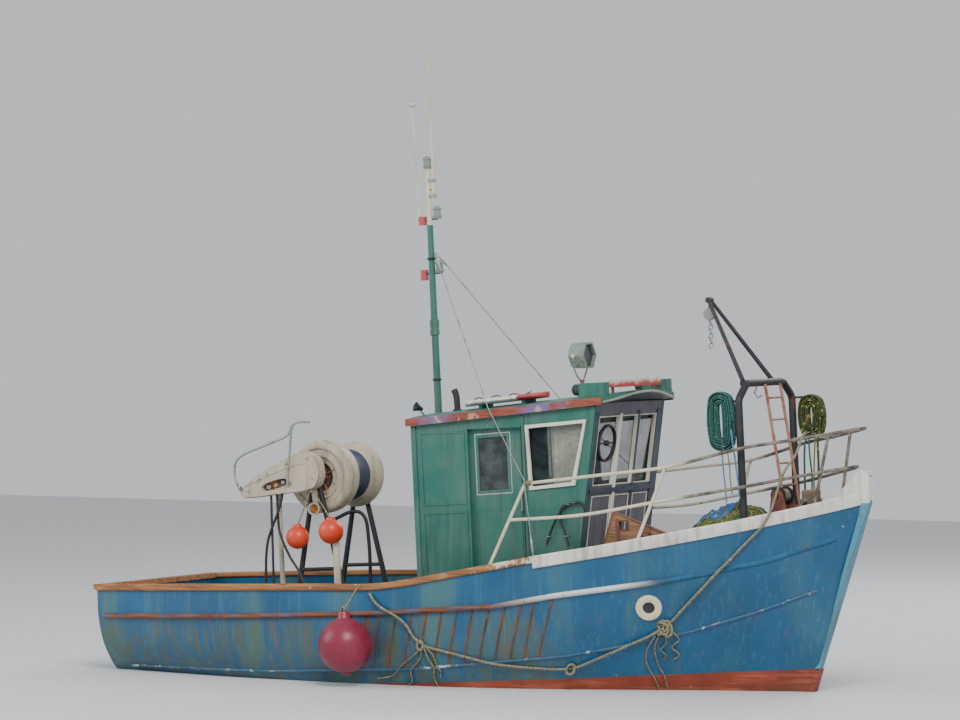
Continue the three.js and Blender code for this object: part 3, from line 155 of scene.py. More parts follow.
class Paint:
    def __init__(self, name):
        self.material = bpy.data.materials.new(name)
        self.material.use_nodes = True
        self.tree = self.material.node_tree
        self.tree.nodes.clear()
        self.shader = self.tree.nodes.new("ShaderNodeBsdfPrincipled")
        output = self.tree.nodes.new("ShaderNodeOutputMaterial")
        self.tree.links.new(self.shader.outputs["BSDF"], output.inputs["Surface"])
        coordinates = self.tree.nodes.new("ShaderNodeTexCoord")
        self.place = Wire(self, coordinates.outputs["Object"])
        self.uv = Wire(self, coordinates.outputs["UV"])

    def node(self, kind, settings, values):
        node = self.tree.nodes.new(kind)
        for name, value in settings.items():
            setattr(node, name, value)
        pairs = values.items() if isinstance(values, dict) else enumerate(values)
        for key, value in pairs:
            self.join(value, node.inputs[key])
        return [Wire(self, output) for output in node.outputs if output.enabled]

    def join(self, value, socket):
        # a wire is linked; a number or a colour is set, the colour also by its screen code
        if isinstance(value, Wire):
            self.tree.links.new(value.socket, socket)
        elif socket.type == "RGBA":
            socket.default_value = (*(linear(value) if isinstance(value, str) else value), 1)
        else:
            socket.default_value = value

    def stretched(self, scale, turn=(0, 0, 0)):
        values = {"Vector": self.place, "Scale": scale, "Rotation": turn}
        return self.node("ShaderNodeMapping", {"vector_type": "POINT"}, values)[0]

    def levelHeight(self):
        # height above the boat's own base plane
        along, _, up = self.node("ShaderNodeSeparateXYZ", {}, [self.place])
        slope = math.radians(boat["trim"])
        return up * math.cos(slope) - along * math.sin(slope)

    def boatAlong(self):
        # place along the boat's own length
        along, _, up = self.node("ShaderNodeSeparateXYZ", {}, [self.place])
        slope = math.radians(boat["trim"])
        return along * math.cos(slope) + up * math.sin(slope)

    def noise(self, scale, detail=4.0, rough=0.55, where=None, twist=0.0):
        values = {"Scale": scale, "Detail": detail, "Roughness": rough, "Distortion": twist}
        values["Vector"] = where or self.place
        return self.node("ShaderNodeTexNoise", {"noise_dimensions": "3D"}, values)[0]

    def streaks(self, scale, detail, rough=0.55, turn=(0, 0, 0), twist=0.0):
        # noise drawn out along the axes with the smaller scales
        return self.noise(1.0, detail, rough, self.stretched(scale, turn), twist)

    def cells(self, scale):
        values = {"Vector": self.place, "Scale": scale}
        return self.node("ShaderNodeTexVoronoi", {"feature": "F1"}, values)[0]

    def mix(self, factor, first, second):
        node = self.tree.nodes.new("ShaderNodeMix")
        node.data_type = "RGBA"
        self.join(factor, node.inputs[0])
        self.join(first, node.inputs[6])
        self.join(second, node.inputs[7])
        return Wire(self, node.outputs[2])

    def bump(self, height, distance, strength):
        values = {"Height": height, "Distance": distance, "Strength": strength}
        return self.node("ShaderNodeBump", {}, values)[0]

    def finish(self, colour, rough, normal=None, metal=0.0, coat=0.0, alpha=None):
        self.join(colour, self.shader.inputs["Base Color"])
        self.join(rough, self.shader.inputs["Roughness"])
        self.join(metal, self.shader.inputs["Metallic"])
        self.shader.inputs["Coat Weight"].default_value = coat
        self.shader.inputs["Coat Roughness"].default_value = 0.2
        if normal:
            self.join(normal, self.shader.inputs["Normal"])
        if alpha is not None:
            self.join(alpha, self.shader.inputs["Alpha"])
        return self.material


paintWork = {
    "chipScale": 9.0,
    "streakScale": (16.0, 16.0, 1.1),
    "grimeScale": 2.2,
    "brushScale": (30.0, 30.0, 30.0),
    "grainScale": (0.7, 9.0, 22.0),
}


def wornPaint(name, colour, under="6a5040", chips=0.62, streaks=0.35, grime=0.3, rough=0.48, dirt="3c3428",
        fade="d0d4cc", fading=0.12):
    # painted surface: brushed, a little faded, with dirt runs and chips down to what is under the paint
    paint = Paint(name)
    tone = paint.noise(paintWork["grimeScale"], 5)
    base = paint.mix(tone.above(0.55, 0.25) * fading, colour, fade)
    runs = paint.streaks(paintWork["streakScale"], 5)
    patches = paint.noise(1.3, 3)
    dirty = runs.above(0.56, 0.14) * patches.above(0.42, 0.2) * streaks
    dirty = (dirty + tone.above(0.6, 0.2) * grime).limited()
    base = paint.mix(dirty, base, dirt)
    chipField = paint.noise(paintWork["chipScale"], 7, 0.7, twist=0.4) * 0.7 + paint.noise(2.4, 3) * 0.3
    chipped = chipField.above(chips, 0.018)
    base = paint.mix(chipped, base, under)
    brushed = paint.streaks(paintWork["brushScale"], 4)
    height = brushed * 0.35 + (1 - chipped) * 0.6
    roughness = (brushed * 0.12 + dirty * 0.25 + chipped * 0.3 + rough).limited()
    return paint.finish(base, roughness, paint.bump(height, 0.0016, 0.5))


def bareTimber(name, light="9a7c5c", dark="4c382a", grey="8b867a"):
    # weathered wood with its grain along the boat
    paint = Paint(name)
    grainPlace = paint.stretched(paintWork["grainScale"])
    grain = paint.noise(3.4, 8, 0.62, where=grainPlace, twist=0.6)
    colour = paint.mix(grain.above(0.5, 0.2), dark, light)
    weather = paint.noise(1.6, 5)
    colour = paint.mix(weather.above(0.52, 0.18) * 0.55, colour, grey)
    cracks = paint.noise(9.0, 3, 0.5, where=grainPlace)
    split = cracks.above(0.66, 0.03)
    colour = paint.mix(split * 0.7, colour, "2a1f18")
    height = grain * 0.5 - split * 0.8
    return paint.finish(colour, grain * 0.15 + 0.72, paint.bump(height, 0.003, 0.7))


def plainMetal(name, colour, rust="7a4326", rusty=0.6, rough=0.42, metal=0.75):
    # bare or galvanised metal, spotted with rust
    paint = Paint(name)
    mottled = paint.cells(38.0) * 0.5 + paint.noise(22.0, 4) * 0.5
    base = paint.mix(mottled.above(0.5, 0.3) * 0.35, colour, "c9ccc8")
    field = paint.noise(7.0, 7, 0.68)
    rusted = field.above(rusty, 0.05)
    base = paint.mix(rusted, base, rust)
    height = mottled * 0.2 + rusted * field
    roughness = (rusted * 0.4 + mottled * 0.12 + rough).limited()
    shine = (1 - rusted) * metal
    return paint.finish(base, roughness, paint.bump(height, 0.0015, 0.6), shine)


def smoothPlastic(name, colour, fade, rough=0.38):
    paint = Paint(name)
    faded = paint.noise(3.0, 4)
    base = paint.mix(faded.above(0.55, 0.2) * 0.5, colour, fade)
    scuffs = paint.streaks((40, 40, 9), 6, 0.7)
    scuffed = scuffs.above(0.62, 0.05)
    base = paint.mix(scuffed * 0.35, base, "3a2e2c")
    return paint.finish(base, scuffed * 0.3 + rough, paint.bump(scuffs, 0.0012, 0.4))


def ropeFinish(name, colour, dark, fleck, flecked=0.68):
    paint = Paint(name)
    fibres = paint.noise(60.0, 5, 0.7)
    base = paint.mix(fibres.above(0.5, 0.2), dark, colour)
    bits = paint.noise(24.0, 3)
    base = paint.mix(bits.above(flecked, 0.03), base, fleck)
    return paint.finish(base, 0.92, paint.bump(fibres, 0.002, 0.8))


def windowGlass(name, tint, clear):
    # salt-filmed glass: clear is how much shows through it
    paint = Paint(name)
    salt = paint.noise(5.0, 6, 0.6)
    film = salt.above(0.5, 0.25)
    colour = paint.mix(film * 0.3, tint, "8c989a")
    return paint.finish(colour, film * 0.22 + 0.06, alpha=film * 0.16 + (1 - clear))


def hullPaint():
    # blue planking: sun-faded, green and rust-stained in runs, scuffed white here and there
    paint = Paint("hullPlanks")
    along, level = paint.boatAlong(), paint.levelHeight()
    tone = paint.noise(1.3, 5)
    colour = paint.mix(tone.above(0.5, 0.3), "0c4a70", "165f88")
    bands = paint.streaks((2.4, 2.4, 0.3), 4)
    aft = 1 - along.above(1.4, 1.6)
    colour = paint.mix(bands.above(0.56, 0.1) * (aft * 0.4 + 0.22), colour, "4a7468")
    low = 1 - level.above(0.72, 0.12)
    stained = paint.streaks((9, 9, 1.0), 6, 0.65)
    shade = stained.above(0.48, 0.12) * low * (1 - along.above(1.3, 0.5))
    colour = paint.mix(shade * 0.75, colour, "4c5c46")
    runs = paint.streaks((26, 26, 0.9), 6, 0.6)
    colour = paint.mix(runs.above(0.6, 0.06) * 0.18, colour, "5c8a98")
    rust = paint.streaks((13, 13, 0.8), 5, 0.6, (0, 0, 0.4))
    colour = paint.mix(rust.above(0.64, 0.05) * low * (0.7 - along.above(1.3, 0.6) * 0.55), colour, "7a4a30")
    scuffs = paint.noise(10.0, 7, 0.7)
    scuffed = scuffs.above(0.71, 0.015) * paint.noise(1.7, 3).above(0.5, 0.1)
    colour = paint.mix(scuffed, colour, "c3d2d4")
    grain = paint.streaks((3.0, 3.0, 26), 5, 0.6)
    height = grain * 0.5 + scuffed * -0.4 + runs * 0.15
    return paint.finish(colour, (tone * 0.2 + scuffed * 0.2 + 0.34).limited(),
        paint.bump(height, 0.004, 0.5), coat=0.12)


def bottomPaint():
    # red-brown boot top with chalky scratches and a dark waterline stain
    paint = Paint("bottomPaint")
    level = paint.levelHeight()
    tone = paint.noise(2.2, 6)
    colour = paint.mix(tone.above(0.5, 0.22), "742e24", "a44a32")
    stretch = paint.streaks((1.2, 1.2, 22), 5, 0.6)
    colour = paint.mix(stretch.above(0.58, 0.08) * 0.45, colour, "c4795a")
    weed = (1 - level.above(-0.12, 0.1)) * paint.noise(4.0, 6).above(0.45, 0.12)
    colour = paint.mix(weed * 0.75, colour, "35402a")
    spots = paint.noise(15.0, 5, 0.7)
    colour = paint.mix(spots.above(0.71, 0.02), colour, "d8cfc0")
    return paint.finish(colour, tone * 0.2 + 0.62, paint.bump(stretch + spots * 0.4, 0.003, 0.5))


def strakePaint():
    # rubbing strake: white worn amidships, rusty bare wood aft, blue with a stained seam forward
    paint = Paint("strakeWorn")
    along = paint.boatAlong()
    grain = paint.streaks((1.6, 12, 34), 7, 0.65)
    patch = paint.noise(5.0, 6, 0.66)
    forward = along.above(2.2, 0.25)
    white = along.above(1.05, 0.45) * (1 - forward)
    colour = paint.mix(grain.above(0.5, 0.18), "5a3020", "8e5434")
    blue = paint.mix(patch.above(0.5, 0.2), "0f4a6c", "1b6488")
    colour = paint.mix((patch.above(0.5, 0.04) * (1 - white) * 0.45).limited(), colour, blue)
    colour = paint.mix(forward * patch.above(0.36, 0.06), colour, blue)
    colour = paint.mix(white * patch.above(0.40, 0.03), colour, "d5d8d6")
    colour = paint.mix(grain.above(0.64, 0.03) * 0.6, colour, "3c3026")
    return paint.finish(colour, grain * 0.2 + 0.6, paint.bump(grain + patch * 0.5, 0.004, 0.8))


def railPaint():
    # bare rail cap aft: orange-brown wood with rests of white paint, white-worn towards the bow
    paint = Paint("railTimber")
    along = paint.boatAlong()
    grain = paint.streaks((1.2, 16, 30), 8, 0.64, twist=0.5)
    colour = paint.mix(grain.above(0.5, 0.2), "6e4228", "b27a4a")
    patch = paint.noise(6.0, 6, 0.68)
    white = patch.above(0.52, 0.03) * along.above(0.35, 0.35)
    colour = paint.mix((white + patch.above(0.66, 0.02) * 0.7).limited(), colour, "cfc8b8")
    colour = paint.mix(grain.above(0.68, 0.03) * 0.7, colour, "2c2019")
    return paint.finish(colour, grain * 0.2 + 0.65, paint.bump(grain, 0.004, 0.8))


def guardPaint():
    # guard rail tube: cream aft, its paint gone to grey-brown metal towards the bow
    paint = Paint("guardPaint")
    along = paint.boatAlong()
    patch = paint.noise(8.0, 6, 0.66)
    bare = (along + patch * 0.6).above(2.95, 0.12)
    colour = paint.mix(patch.above(0.5, 0.25), "c4baa2", "d9d0ba")
    metal = paint.mix(patch.above(0.5, 0.12), "4c443c", "857c70")
    colour = paint.mix(bare, colour, metal)
    colour = paint.mix(patch.above(0.66, 0.03) * 0.8, colour, "7a4628")
    return paint.finish(colour, patch * 0.2 + 0.45, paint.bump(patch, 0.002, 0.6))


def fasciaPaint():
    # red-brown band with a faded purple and blue stretch
    paint = Paint("fasciaPaint")
    along = paint.boatAlong()
    grain = paint.streaks((2.0, 14, 30), 7, 0.65)
    patch = paint.noise(7.0, 5)
    colour = paint.mix(grain.above(0.5, 0.2), "6a2e28", "a0563c")
    faded = along.above(0.75, 0.2) * (1 - along.above(1.25, 0.2))
    faded += along.above(-0.35, 0.1) * (1 - along.above(-0.05, 0.15))
    colour = paint.mix((faded * patch.above(0.45, 0.12)).limited() * 0.8, colour, "6c6a9c")
    colour = paint.mix(patch.above(0.64, 0.03) * 0.7, colour, "c89a84")
    return paint.finish(colour, grain * 0.2 + 0.6, paint.bump(grain, 0.003, 0.7))


def boardPaint():
    # a blank board: white above, worn red below
    paint = Paint("boardPaint")
    level = paint.levelHeight()
    patch = paint.noise(9.0, 6, 0.66)
    red = (level + patch * 0.12).above(3.06, 0.03)
    colour = paint.mix(red, "b04038", "e0ddd6")
    colour = paint.mix(patch.above(0.62, 0.03) * 0.6, colour, "cdb8b0")
    grain = paint.streaks((4, 2, 40), 6, 0.6)
    return paint.finish(colour, patch * 0.2 + 0.5, paint.bump(grain, 0.002, 0.5))


finishes = {
    "hull_paint": wornPaint("hullBlue", "1f6a92", under="5d6f66", chips=0.64, streaks=0.5, dirt="3f4a40"),
    "stem_paint": wornPaint("stemBlue", "4a8ea8", under="7a6a58", chips=0.6),
    "white_paint": wornPaint("wornWhite", "dcdad2", under="7c6a58", chips=0.61, streaks=0.5, dirt="6a5a44"),
    "bare_wood": bareTimber("bareTimber"),
    "deck_paint": wornPaint("deckPaint", "6f7a70", under="6a5a48", chips=0.56, grime=0.6, rough=0.8),
    "house_green": wornPaint("houseGreen", "1c6658", under="8a8878", chips=0.66, streaks=0.45, dirt="2c3a34",
        rough=0.42),
    "panel_grey": wornPaint("panelGrey", "5a5866", under="8a8478", chips=0.64),
    "window_glass": windowGlass("windowGlass", "1c2a30", 0.86),
    "black_steel": wornPaint("blackSteel", "171820", under="5c3e2c", chips=0.6, streaks=0.3, rough=0.5,
        fade="3c4250", fading=0.25),
    "galvanised": plainMetal("galvanised", "8f9693"),
    "red_brown": wornPaint("redBrown", "6c3a34", under="8c5638", chips=0.56, rough=0.7, dirt="2e2220"),
    "rail_beige": wornPaint("railBeige", "d3c9b2", under="7a4a2c", chips=0.6, streaks=0.45, dirt="6e4c30"),
    "gear_cream": wornPaint("gearCream", "bcb19a", under="6a4c38", chips=0.62, streaks=0.4, dirt="5a5448"),
    "navy_paint": wornPaint("navyPaint", "28324e", chips=0.64),
    "float_orange": smoothPlastic("floatOrange", "d23a20", "e2663c"),
    "fender_red": smoothPlastic("fenderRed", "7c1834", "a23c50"),
    "old_rope": ropeFinish("oldRope", "a09a7e", "58523e", "cfc9b0"),
    "net_twine": ropeFinish("netTwine", "7c8436", "3c4020", "c8b84a"),
    "bronze": plainMetal("bronze", "8c6a3c", rust="4c6a54", rusty=0.55, rough=0.35, metal=0.9),
    "engine_paint": wornPaint("enginePaint", "4a5c50", chips=0.6),
    "cream_paint": wornPaint("creamPaint", "e4dcb6", under="8a7a5c", chips=0.64, dirt="7a6a4a"),
    "hullPlanks": hullPaint(),
    "antifouling": bottomPaint(),
    "strakeWorn": strakePaint(),
    "railTimber": railPaint(),
    "lowStrake": wornPaint("lowStrake", "16547a", under="b8c4c4", chips=0.58, streaks=0.3, grime=0.2),
    "whiteTimber": wornPaint("whiteTimber", "e6e3dc", under="8a7660", chips=0.66, streaks=0.55, grime=0.25,
        dirt="8a7a62"),
    "battenRust": wornPaint("battenRust", "553a2c", under="80482c", chips=0.5, streaks=0.5, rough=0.8,
        dirt="2e3a36", fade="4a7a84", fading=0.5),
    # near-black for the outlets' blind mouths: painted shade for the pipe's depth
    "mouthPaintedShade": wornPaint("mouthPaintedShade", "0c1220", under="2a3038", chips=0.7, rough=0.7),
    "hankTwine": ropeFinish("hankTwine", "4c5a30", "242c1c", "a89a3c", 0.6),
    "tealTwine": ropeFinish("tealTwine", "37706a", "16362e", "8ab8b4"),
    "paleBlueTwine": ropeFinish("paleBlueTwine", "5c98b4", "2c5c78", "a8cede"),
    # the door's glass is near-black and mostly opaque: painted shade for the dark inside of the wheelhouse
    # seen through it
    "shadedDoorGlass": windowGlass("shadedDoorGlass", "14181a", 0.25),
    "fasciaPaint": fasciaPaint(),
    "guardPaint": guardPaint(),
    "windowFrame": wornPaint("windowFrame", "dedccb", under="7a8474", chips=0.62, streaks=0.3),
    "redPaint": wornPaint("redPaint", "b8323a", under="7a4a40", chips=0.64),
    "boardPaint": boardPaint(),
    "hubRust": wornPaint("hubRust", "4a3428", under="a06a30", chips=0.52, rough=0.8, dirt="1c1814"),
    "ladderPink": wornPaint("ladderPink", "9c6e5c", under="8a4a44", chips=0.54, rough=0.75, fade="c0a48a",
        fading=0.5),
    "otterPlanks": bareTimber("otterPlanks", "a8764a", "5c3a24", "9a8468"),
    "blueCanvas": ropeFinish("blueCanvas", "3c6c9c", "24466c", "7aa4c4"),
    "lampGrey": wornPaint("lampGrey", "7c8a80", under="5a5c56", chips=0.62, rough=0.55),
    "lampGlass": wornPaint("lampGlass", "2a3238", under="6a7478", chips=0.7, rough=0.15),
    "curtainCloth": ropeFinish("curtainCloth", "dedfcc", "b0b3a2", "efefe2"),
}

slotOfNode = {part["node"]: part["material_slot"] for part in frame["record"]["subparts"]}
for nodeName, nodeObject in frame["nodes"].items():
    finishName = "shadedDoorGlass" if nodeName == "door_glass" else slotOfNode[nodeName]
    nodeObject.data.materials.clear()
    nodeObject.data.materials.append(finishes[finishName])
print("finishes made")


# Hull surface: a net of points from the keel to the sheer along the hull, as the CAD part has it.
# Stations: x, rabbet height, sheer height, half-breadth, then the share of it at the levels between
hull = {
    "keelHalf": 0.055,
    "levels": (0, 0.1, 0.25, 0.5, 0.75, 1),
    "stations": [
        (-4.15, -0.09, 1.068, 1.12, 0.40, 0.70, 0.92, 1.00),
        (-3.4, -0.25, 1.060, 1.27, 0.30, 0.64, 0.92, 1.00),
        (-2.5, -0.44, 1.046, 1.36, 0.34, 0.68, 0.95, 1.01),
        (-1.5, -0.57, 1.028, 1.395, 0.45, 0.76, 0.97, 1.01),
        (-0.6, -0.63, 1.016, 1.4, 0.50, 0.80, 0.975, 1.01),
        (0.3, -0.65, 1.124, 1.375, 0.48, 0.78, 0.96, 1.00),
        (1.1, -0.65, 1.236, 1.31, 0.38, 0.68, 0.91, 0.985),
        (1.9, -0.64, 1.338, 1.18, 0.25, 0.52, 0.79, 0.93),
        (2.6, -0.625, 1.437, 0.985, 0.16, 0.37, 0.65, 0.86),
        (3.15, -0.56, 1.522, 0.8, 0.11, 0.27, 0.52, 0.78),
        (3.6, -0.06, 1.603, 0.57, 0.13, 0.25, 0.47, 0.73),
        (3.95, 0.93, 1.676, 0.32, 0.30, 0.40, 0.58, 0.79),
        (4.19, 1.6, 1.734, 0.095, 0.66, 0.72, 0.80, 0.90),
    ],
    "lengthSteps": 120,
    "girthSteps": 50,
    "paintLine": 0.045,
    "planking": 0.06,
    "mainFloor": 0.65,
    "foredeckDrop": 0.13,
    "transomInside": -4.04,
    "step": 1.3,
    "nose": 3.96,
}


def curvePoint(points, share, centripetal=True):
    # a point on a Catmull-Rom curve through the points, its ends carried straight on
    place = share * (len(points) - 1)
    first = min(int(place), len(points) - 2)
    t = place - first
    p1, p2 = points[first], points[first + 1]
    p0 = points[first - 1] if first > 0 else 2 * points[0] - points[1]
    p3 = points[first + 2] if first + 2 < len(points) else 2 * points[-1] - points[-2]
    if centripetal:
        pairs = ((p0, p1), (p1, p2), (p2, p3))
        d0, d1, d2 = (max(float(((b - a) ** 2).sum()) ** 0.25, 1e-4) for a, b in pairs)
        start = ((p1 - p0) / d0 - (p2 - p0) / (d0 + d1) + (p2 - p1) / d1) * d1
        end = ((p2 - p1) / d1 - (p3 - p1) / (d1 + d2) + (p3 - p2) / d2) * d1
    else:
        start, end = (p2 - p0) / 2, (p3 - p1) / 2
    bend = 3 * (p2 - p1) - 2 * start - end
    return p1 + start * t + bend * t ** 2 + (2 * (p1 - p2) + start + end) * t ** 3


def curveThrough(points, count):
    rows = [np.array(point, dtype=float) for point in points]
    return [curvePoint(rows, i / count) for i in range(count + 1)]


def hullGrid():
    rows = []
    for x, low, sheer, breadth, *shares in hull["stations"]:
        widths = [hull["keelHalf"], *(part * breadth for part in shares), breadth]
        heights = [low + level * (sheer - low) for level in hull["levels"]]
        rows.append([np.array((x, wide, high)) for wide, high in zip(widths, heights)])
    grid = []
    for i in range(hull["lengthSteps"] + 1):
        share = i / hull["lengthSteps"]
        section = [curvePoint([row[k] for row in rows], share, False) for k in range(len(hull["levels"]))]
        grid.append([curvePoint(section, j / hull["girthSteps"]) for j in range(hull["girthSteps"] + 1)])
    return np.array(grid)


hullPoints = hullGrid()


def sectionAt(x):
    # the section's points from keel to sheer at a place along the hull
    columns = hullPoints[:, 0, 0]
    row = min(max(int(np.searchsorted(columns, x)), 1), len(columns) - 1)
    part = (x - columns[row - 1]) / (columns[row] - columns[row - 1])
    return hullPoints[row - 1] * (1 - part) + hullPoints[row] * part


def sheerAt(x):
    return float(sectionAt(x)[-1, 2])


def breadthAt(x, z):
    section = sectionAt(x)
    return float(np.interp(z, section[:, 2], section[:, 1]))


def onHull(x, z, off=0.0, hand=-1):
    # a point beside the planking, starboard unless hand is 1
    return np.array((x, hand * (breadthAt(x, z) + off), z))


def floorAt(x):
    if x < hull["transomInside"] or x > hull["nose"]:
        return sheerAt(x)
    return hull["mainFloor"] if x < hull["step"] else sheerAt(x) - hull["foredeckDrop"]


def deckTop(x):
    return floorAt(x) + 0.03


def heightOn(line, x):
    return float(np.interp(x, [place for place, _ in line], [high for _, high in line]))


def steps(low, high, count):
    return [low + (high - low) * i / count for i in range(count + 1)]


def around(count):
    # cosine and sine of evenly spaced places round a circle
    return [(math.cos(2 * math.pi * k / count), math.sin(2 * math.pi * k / count)) for k in range(count)]


def oblong(x, y, farX, farY):
    return [(x, y), (farX, y), (farX, farY), (x, farY)]


def disc(radius, low, high):
    # profile of a plain disc or rod, to be turned
    return [(0, low), (radius, low), (radius, high), (0, high)]


def bore(x, z, radius, count):
    # outline of a round hole in a plate
    return [(x + radius * math.cos(a), z + radius * math.sin(a))
        for a in steps(0, 2 * math.pi * (count - 1) / count, count - 1)]


def span(base, hand, inner, outer):
    # low and high of what lies on one hand of a plane
    return sorted((base + hand * inner, base + hand * outer))


def frameFrom(along):
    # two directions square to one another and to the given one
    along = Vector(along).normalized()
    side = along.orthogonal().normalized()
    return side, along.cross(side)


class Shape:
    # points and faces of one piece, gathered before it is made into a mesh
    def __init__(self):
        self.points = []
        self.faces = []
        self.looks = []
        self.look = 0

    def add(self, points, faces):
        start = len(self.points)
        self.points += [tuple(float(value) for value in point) for point in points]
        self.faces += [tuple(start + i for i in face) for face in faces]
        self.looks += [self.look] * len(faces)
        return self

    def loft(self, rings, capped=True):
        count = len(rings[0])
        faces = []
        for r in range(len(rings) - 1):
            for i in range(count):
                a, b = r * count + i, r * count + (i + 1) % count
                faces.append((a, b, b + count, a + count))
        if capped:
            faces.append(tuple(range(count))[::-1])
            last = (len(rings) - 1) * count
            faces.append(tuple(last + i for i in range(count)))
        return self.add([point for ring in rings for point in ring], faces)

    def block(self, low, high):
        (x0, y0, z0), (x1, y1, z1) = low, high
        return self.loft([[(x, y, z) for x, y in oblong(x0, y0, x1, y1)] for z in (z0, z1)])

    def bar(self, start, end, radius, endRadius=None, sides=20):
        return self.tube([start, end], [radius, radius if endRadius is None else endRadius], sides)

    def tube(self, path, radius, sides=12, closed=False):
        path = [Vector(point) for point in path]
        count = len(path)
        radii = radius if isinstance(radius, (list, tuple)) else [radius] * count
        aims = []
        for i in range(count):
            before = path[i - 1] if closed or i else path[0]
            after = path[(i + 1) % count] if closed or i + 1 < count else path[-1]
            aims.append((after - before).normalized())
        side = frameFrom(aims[0])[0]
        rings = []
        for point, aim, thick in zip(path, aims, radii):
            side = (side - aim * side.dot(aim)).normalized()
            other = aim.cross(side)
            rings.append([point + (side * c + other * s) * thick for c, s in around(sides)])
        if closed:
            return self.loft([*rings, rings[0]], False)
        return self.loft(rings)

    def turned(self, profile, centre, along=(0, 0, 1), sides=32, capped=True):
        # a turned shape: radius and distance along its axis; a hollow one ends where it starts
        along = Vector(along).normalized()
        side, other = frameFrom(along)
        rings = []
        for radius, away in profile:
            middle = Vector(centre) + along * away
            rings.append([middle + (side * c + other * s) * max(radius, 1e-4) for c, s in around(sides)])
        return self.loft(rings, capped)

    def ball(self, centre, radius, sides, rows):
        rings = []
        for row in range(1, rows):
            tall = math.pi * row / rows
            wide, z = radius * math.sin(tall), centre[2] - radius * math.cos(tall)
            rings.append([(centre[0] + wide * c, centre[1] + wide * s, z) for c, s in around(sides)])
        return self.loft(rings)

    def plate(self, outline, low, high, axis=1, holes=()):
        # an outline in the plane square to an axis, made thick along it
        loops = [[Vector((a, b, 0)) for a, b in loop] for loop in (outline, *holes)]
        triangles = tessellate_polygon(loops)
        flat = [point for loop in loops for point in loop]
        count = len(flat)

        def placed(point, depth):
            a, b = point.x, point.y
            return {0: (depth, a, b), 1: (a, depth, b), 2: (a, b, depth)}[axis]

        points = [placed(point, depth) for depth in (low, high) for point in flat]
        faces = [tuple(triangle) for triangle in triangles]
        faces += [tuple(i + count for i in triangle) for triangle in triangles]
        start = 0
        for loop in loops:
            for i in range(len(loop)):
                a, b = start + i, start + (i + 1) % len(loop)
                faces.append((a, b, b + count, a + count))
            start += len(loop)
        return self.add(points, faces)

    def mirrored(self):
        count = len(self.points)
        self.points += [(x, -y, z) for x, y, z in self.points]
        self.faces += [tuple(i + count for i in face)[::-1] for face in self.faces]
        self.looks += list(self.looks)
        return self


def made(name, body, looks, shape, nodes=(), slotName=None, bevel=0.0, angle=35, segments=2):
    # a shape becomes a piece: welded, its normals outward, its edges eased, and turned by the trim
    looks = [looks] if isinstance(looks, str) else looks
    mesh = bpy.data.meshes.new(name)
    mesh.from_pydata(shape.points, [], shape.faces)
    mesh.polygons.foreach_set("material_index", shape.looks)
    work = bmesh.new()
    work.from_mesh(mesh)
    bmesh.ops.remove_doubles(work, verts=work.verts, dist=2e-5)
    bmesh.ops.dissolve_degenerate(work, dist=1e-6, edges=work.edges)
    if bevel:
        bmesh.ops.dissolve_limit(work, angle_limit=math.radians(0.5), verts=work.verts, edges=work.edges,
            delimit={"MATERIAL"})
        sharp = [edge for edge in work.edges if edge.is_manifold
            and edge.calc_face_angle(0) > math.radians(angle)]
        bmesh.ops.bevel(work, geom=sharp, offset=bevel, segments=segments, affect="EDGES",
            clamp_overlap=True)
    bmesh.ops.recalc_face_normals(work, faces=work.faces)
    work.transform(trimTurn)
    work.to_mesh(mesh)
    work.free()
    mesh.shade_smooth()
    mesh.set_sharp_from_angle(angle=math.radians(angle))
    return placedPiece(name, mesh, body, looks, nodes)


def placedPiece(name, mesh, body, looks, nodes=()):
    for look in looks:
        mesh.materials.append(finishes[look])
    piece = bpy.data.objects.new(name, mesh)
    bpy.context.scene.collection.objects.link(piece)
    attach(piece, body)
    if nodes:
        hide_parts(*nodes)
    return piece


def joinedPiece(name, body, parts, nodes=(), slotName=None, **settings):
    # several shapes, each with its own look, in one piece
    whole = Shape()
    looks = []
    for shape, look in parts:
        if look not in looks:
            looks.append(look)
        whole.look = looks.index(look)
        whole.add(shape.points, shape.faces)
    return made(name, body, looks, whole, nodes, slotName, **settings)


class Tree:
    # a Geometry Nodes tree with named inputs, built from expressions
    def __init__(self, name, inputs):
        self.group = bpy.data.node_groups.new(name, "GeometryNodeTree")
        face = self.group.interface
        face.new_socket("Geometry", in_out="INPUT", socket_type="NodeSocketGeometry")
        face.new_socket("Geometry", in_out="OUTPUT", socket_type="NodeSocketGeometry")
        self.names = {}
        for label, kind in inputs.items():
            socket = face.new_socket(label, in_out="INPUT", socket_type=f"NodeSocket{kind}")
            self.names[label] = socket.identifier
        self.entry = self.group.nodes.new("NodeGroupInput")
        self.exit = self.group.nodes.new("NodeGroupOutput")

    def value(self, label):
        return self.entry.outputs[label]

    def node(self, kind, settings, values):
        node = self.group.nodes.new(kind)
        for name, value in settings.items():
            setattr(node, name, value)
        for key, value in values.items():
            socket = node.inputs[key]
            if isinstance(value, bpy.types.NodeSocket):
                self.group.links.new(value, socket)
            else:
                socket.default_value = value
        return [output for output in node.outputs if output.enabled]

    def math(self, operation, first, second=0.0):
        return self.node("ShaderNodeMath", {"operation": operation}, {0: first, 1: second})[0]

    def done(self, geometry, look):
        solid = self.node("GeometryNodeRealizeInstances", {}, {"Geometry": geometry})[0]
        out = self.node("GeometryNodeSetMaterial", {}, {"Geometry": solid, "Material": look})[0]
        self.group.links.new(out, self.exit.inputs[0])
        return self


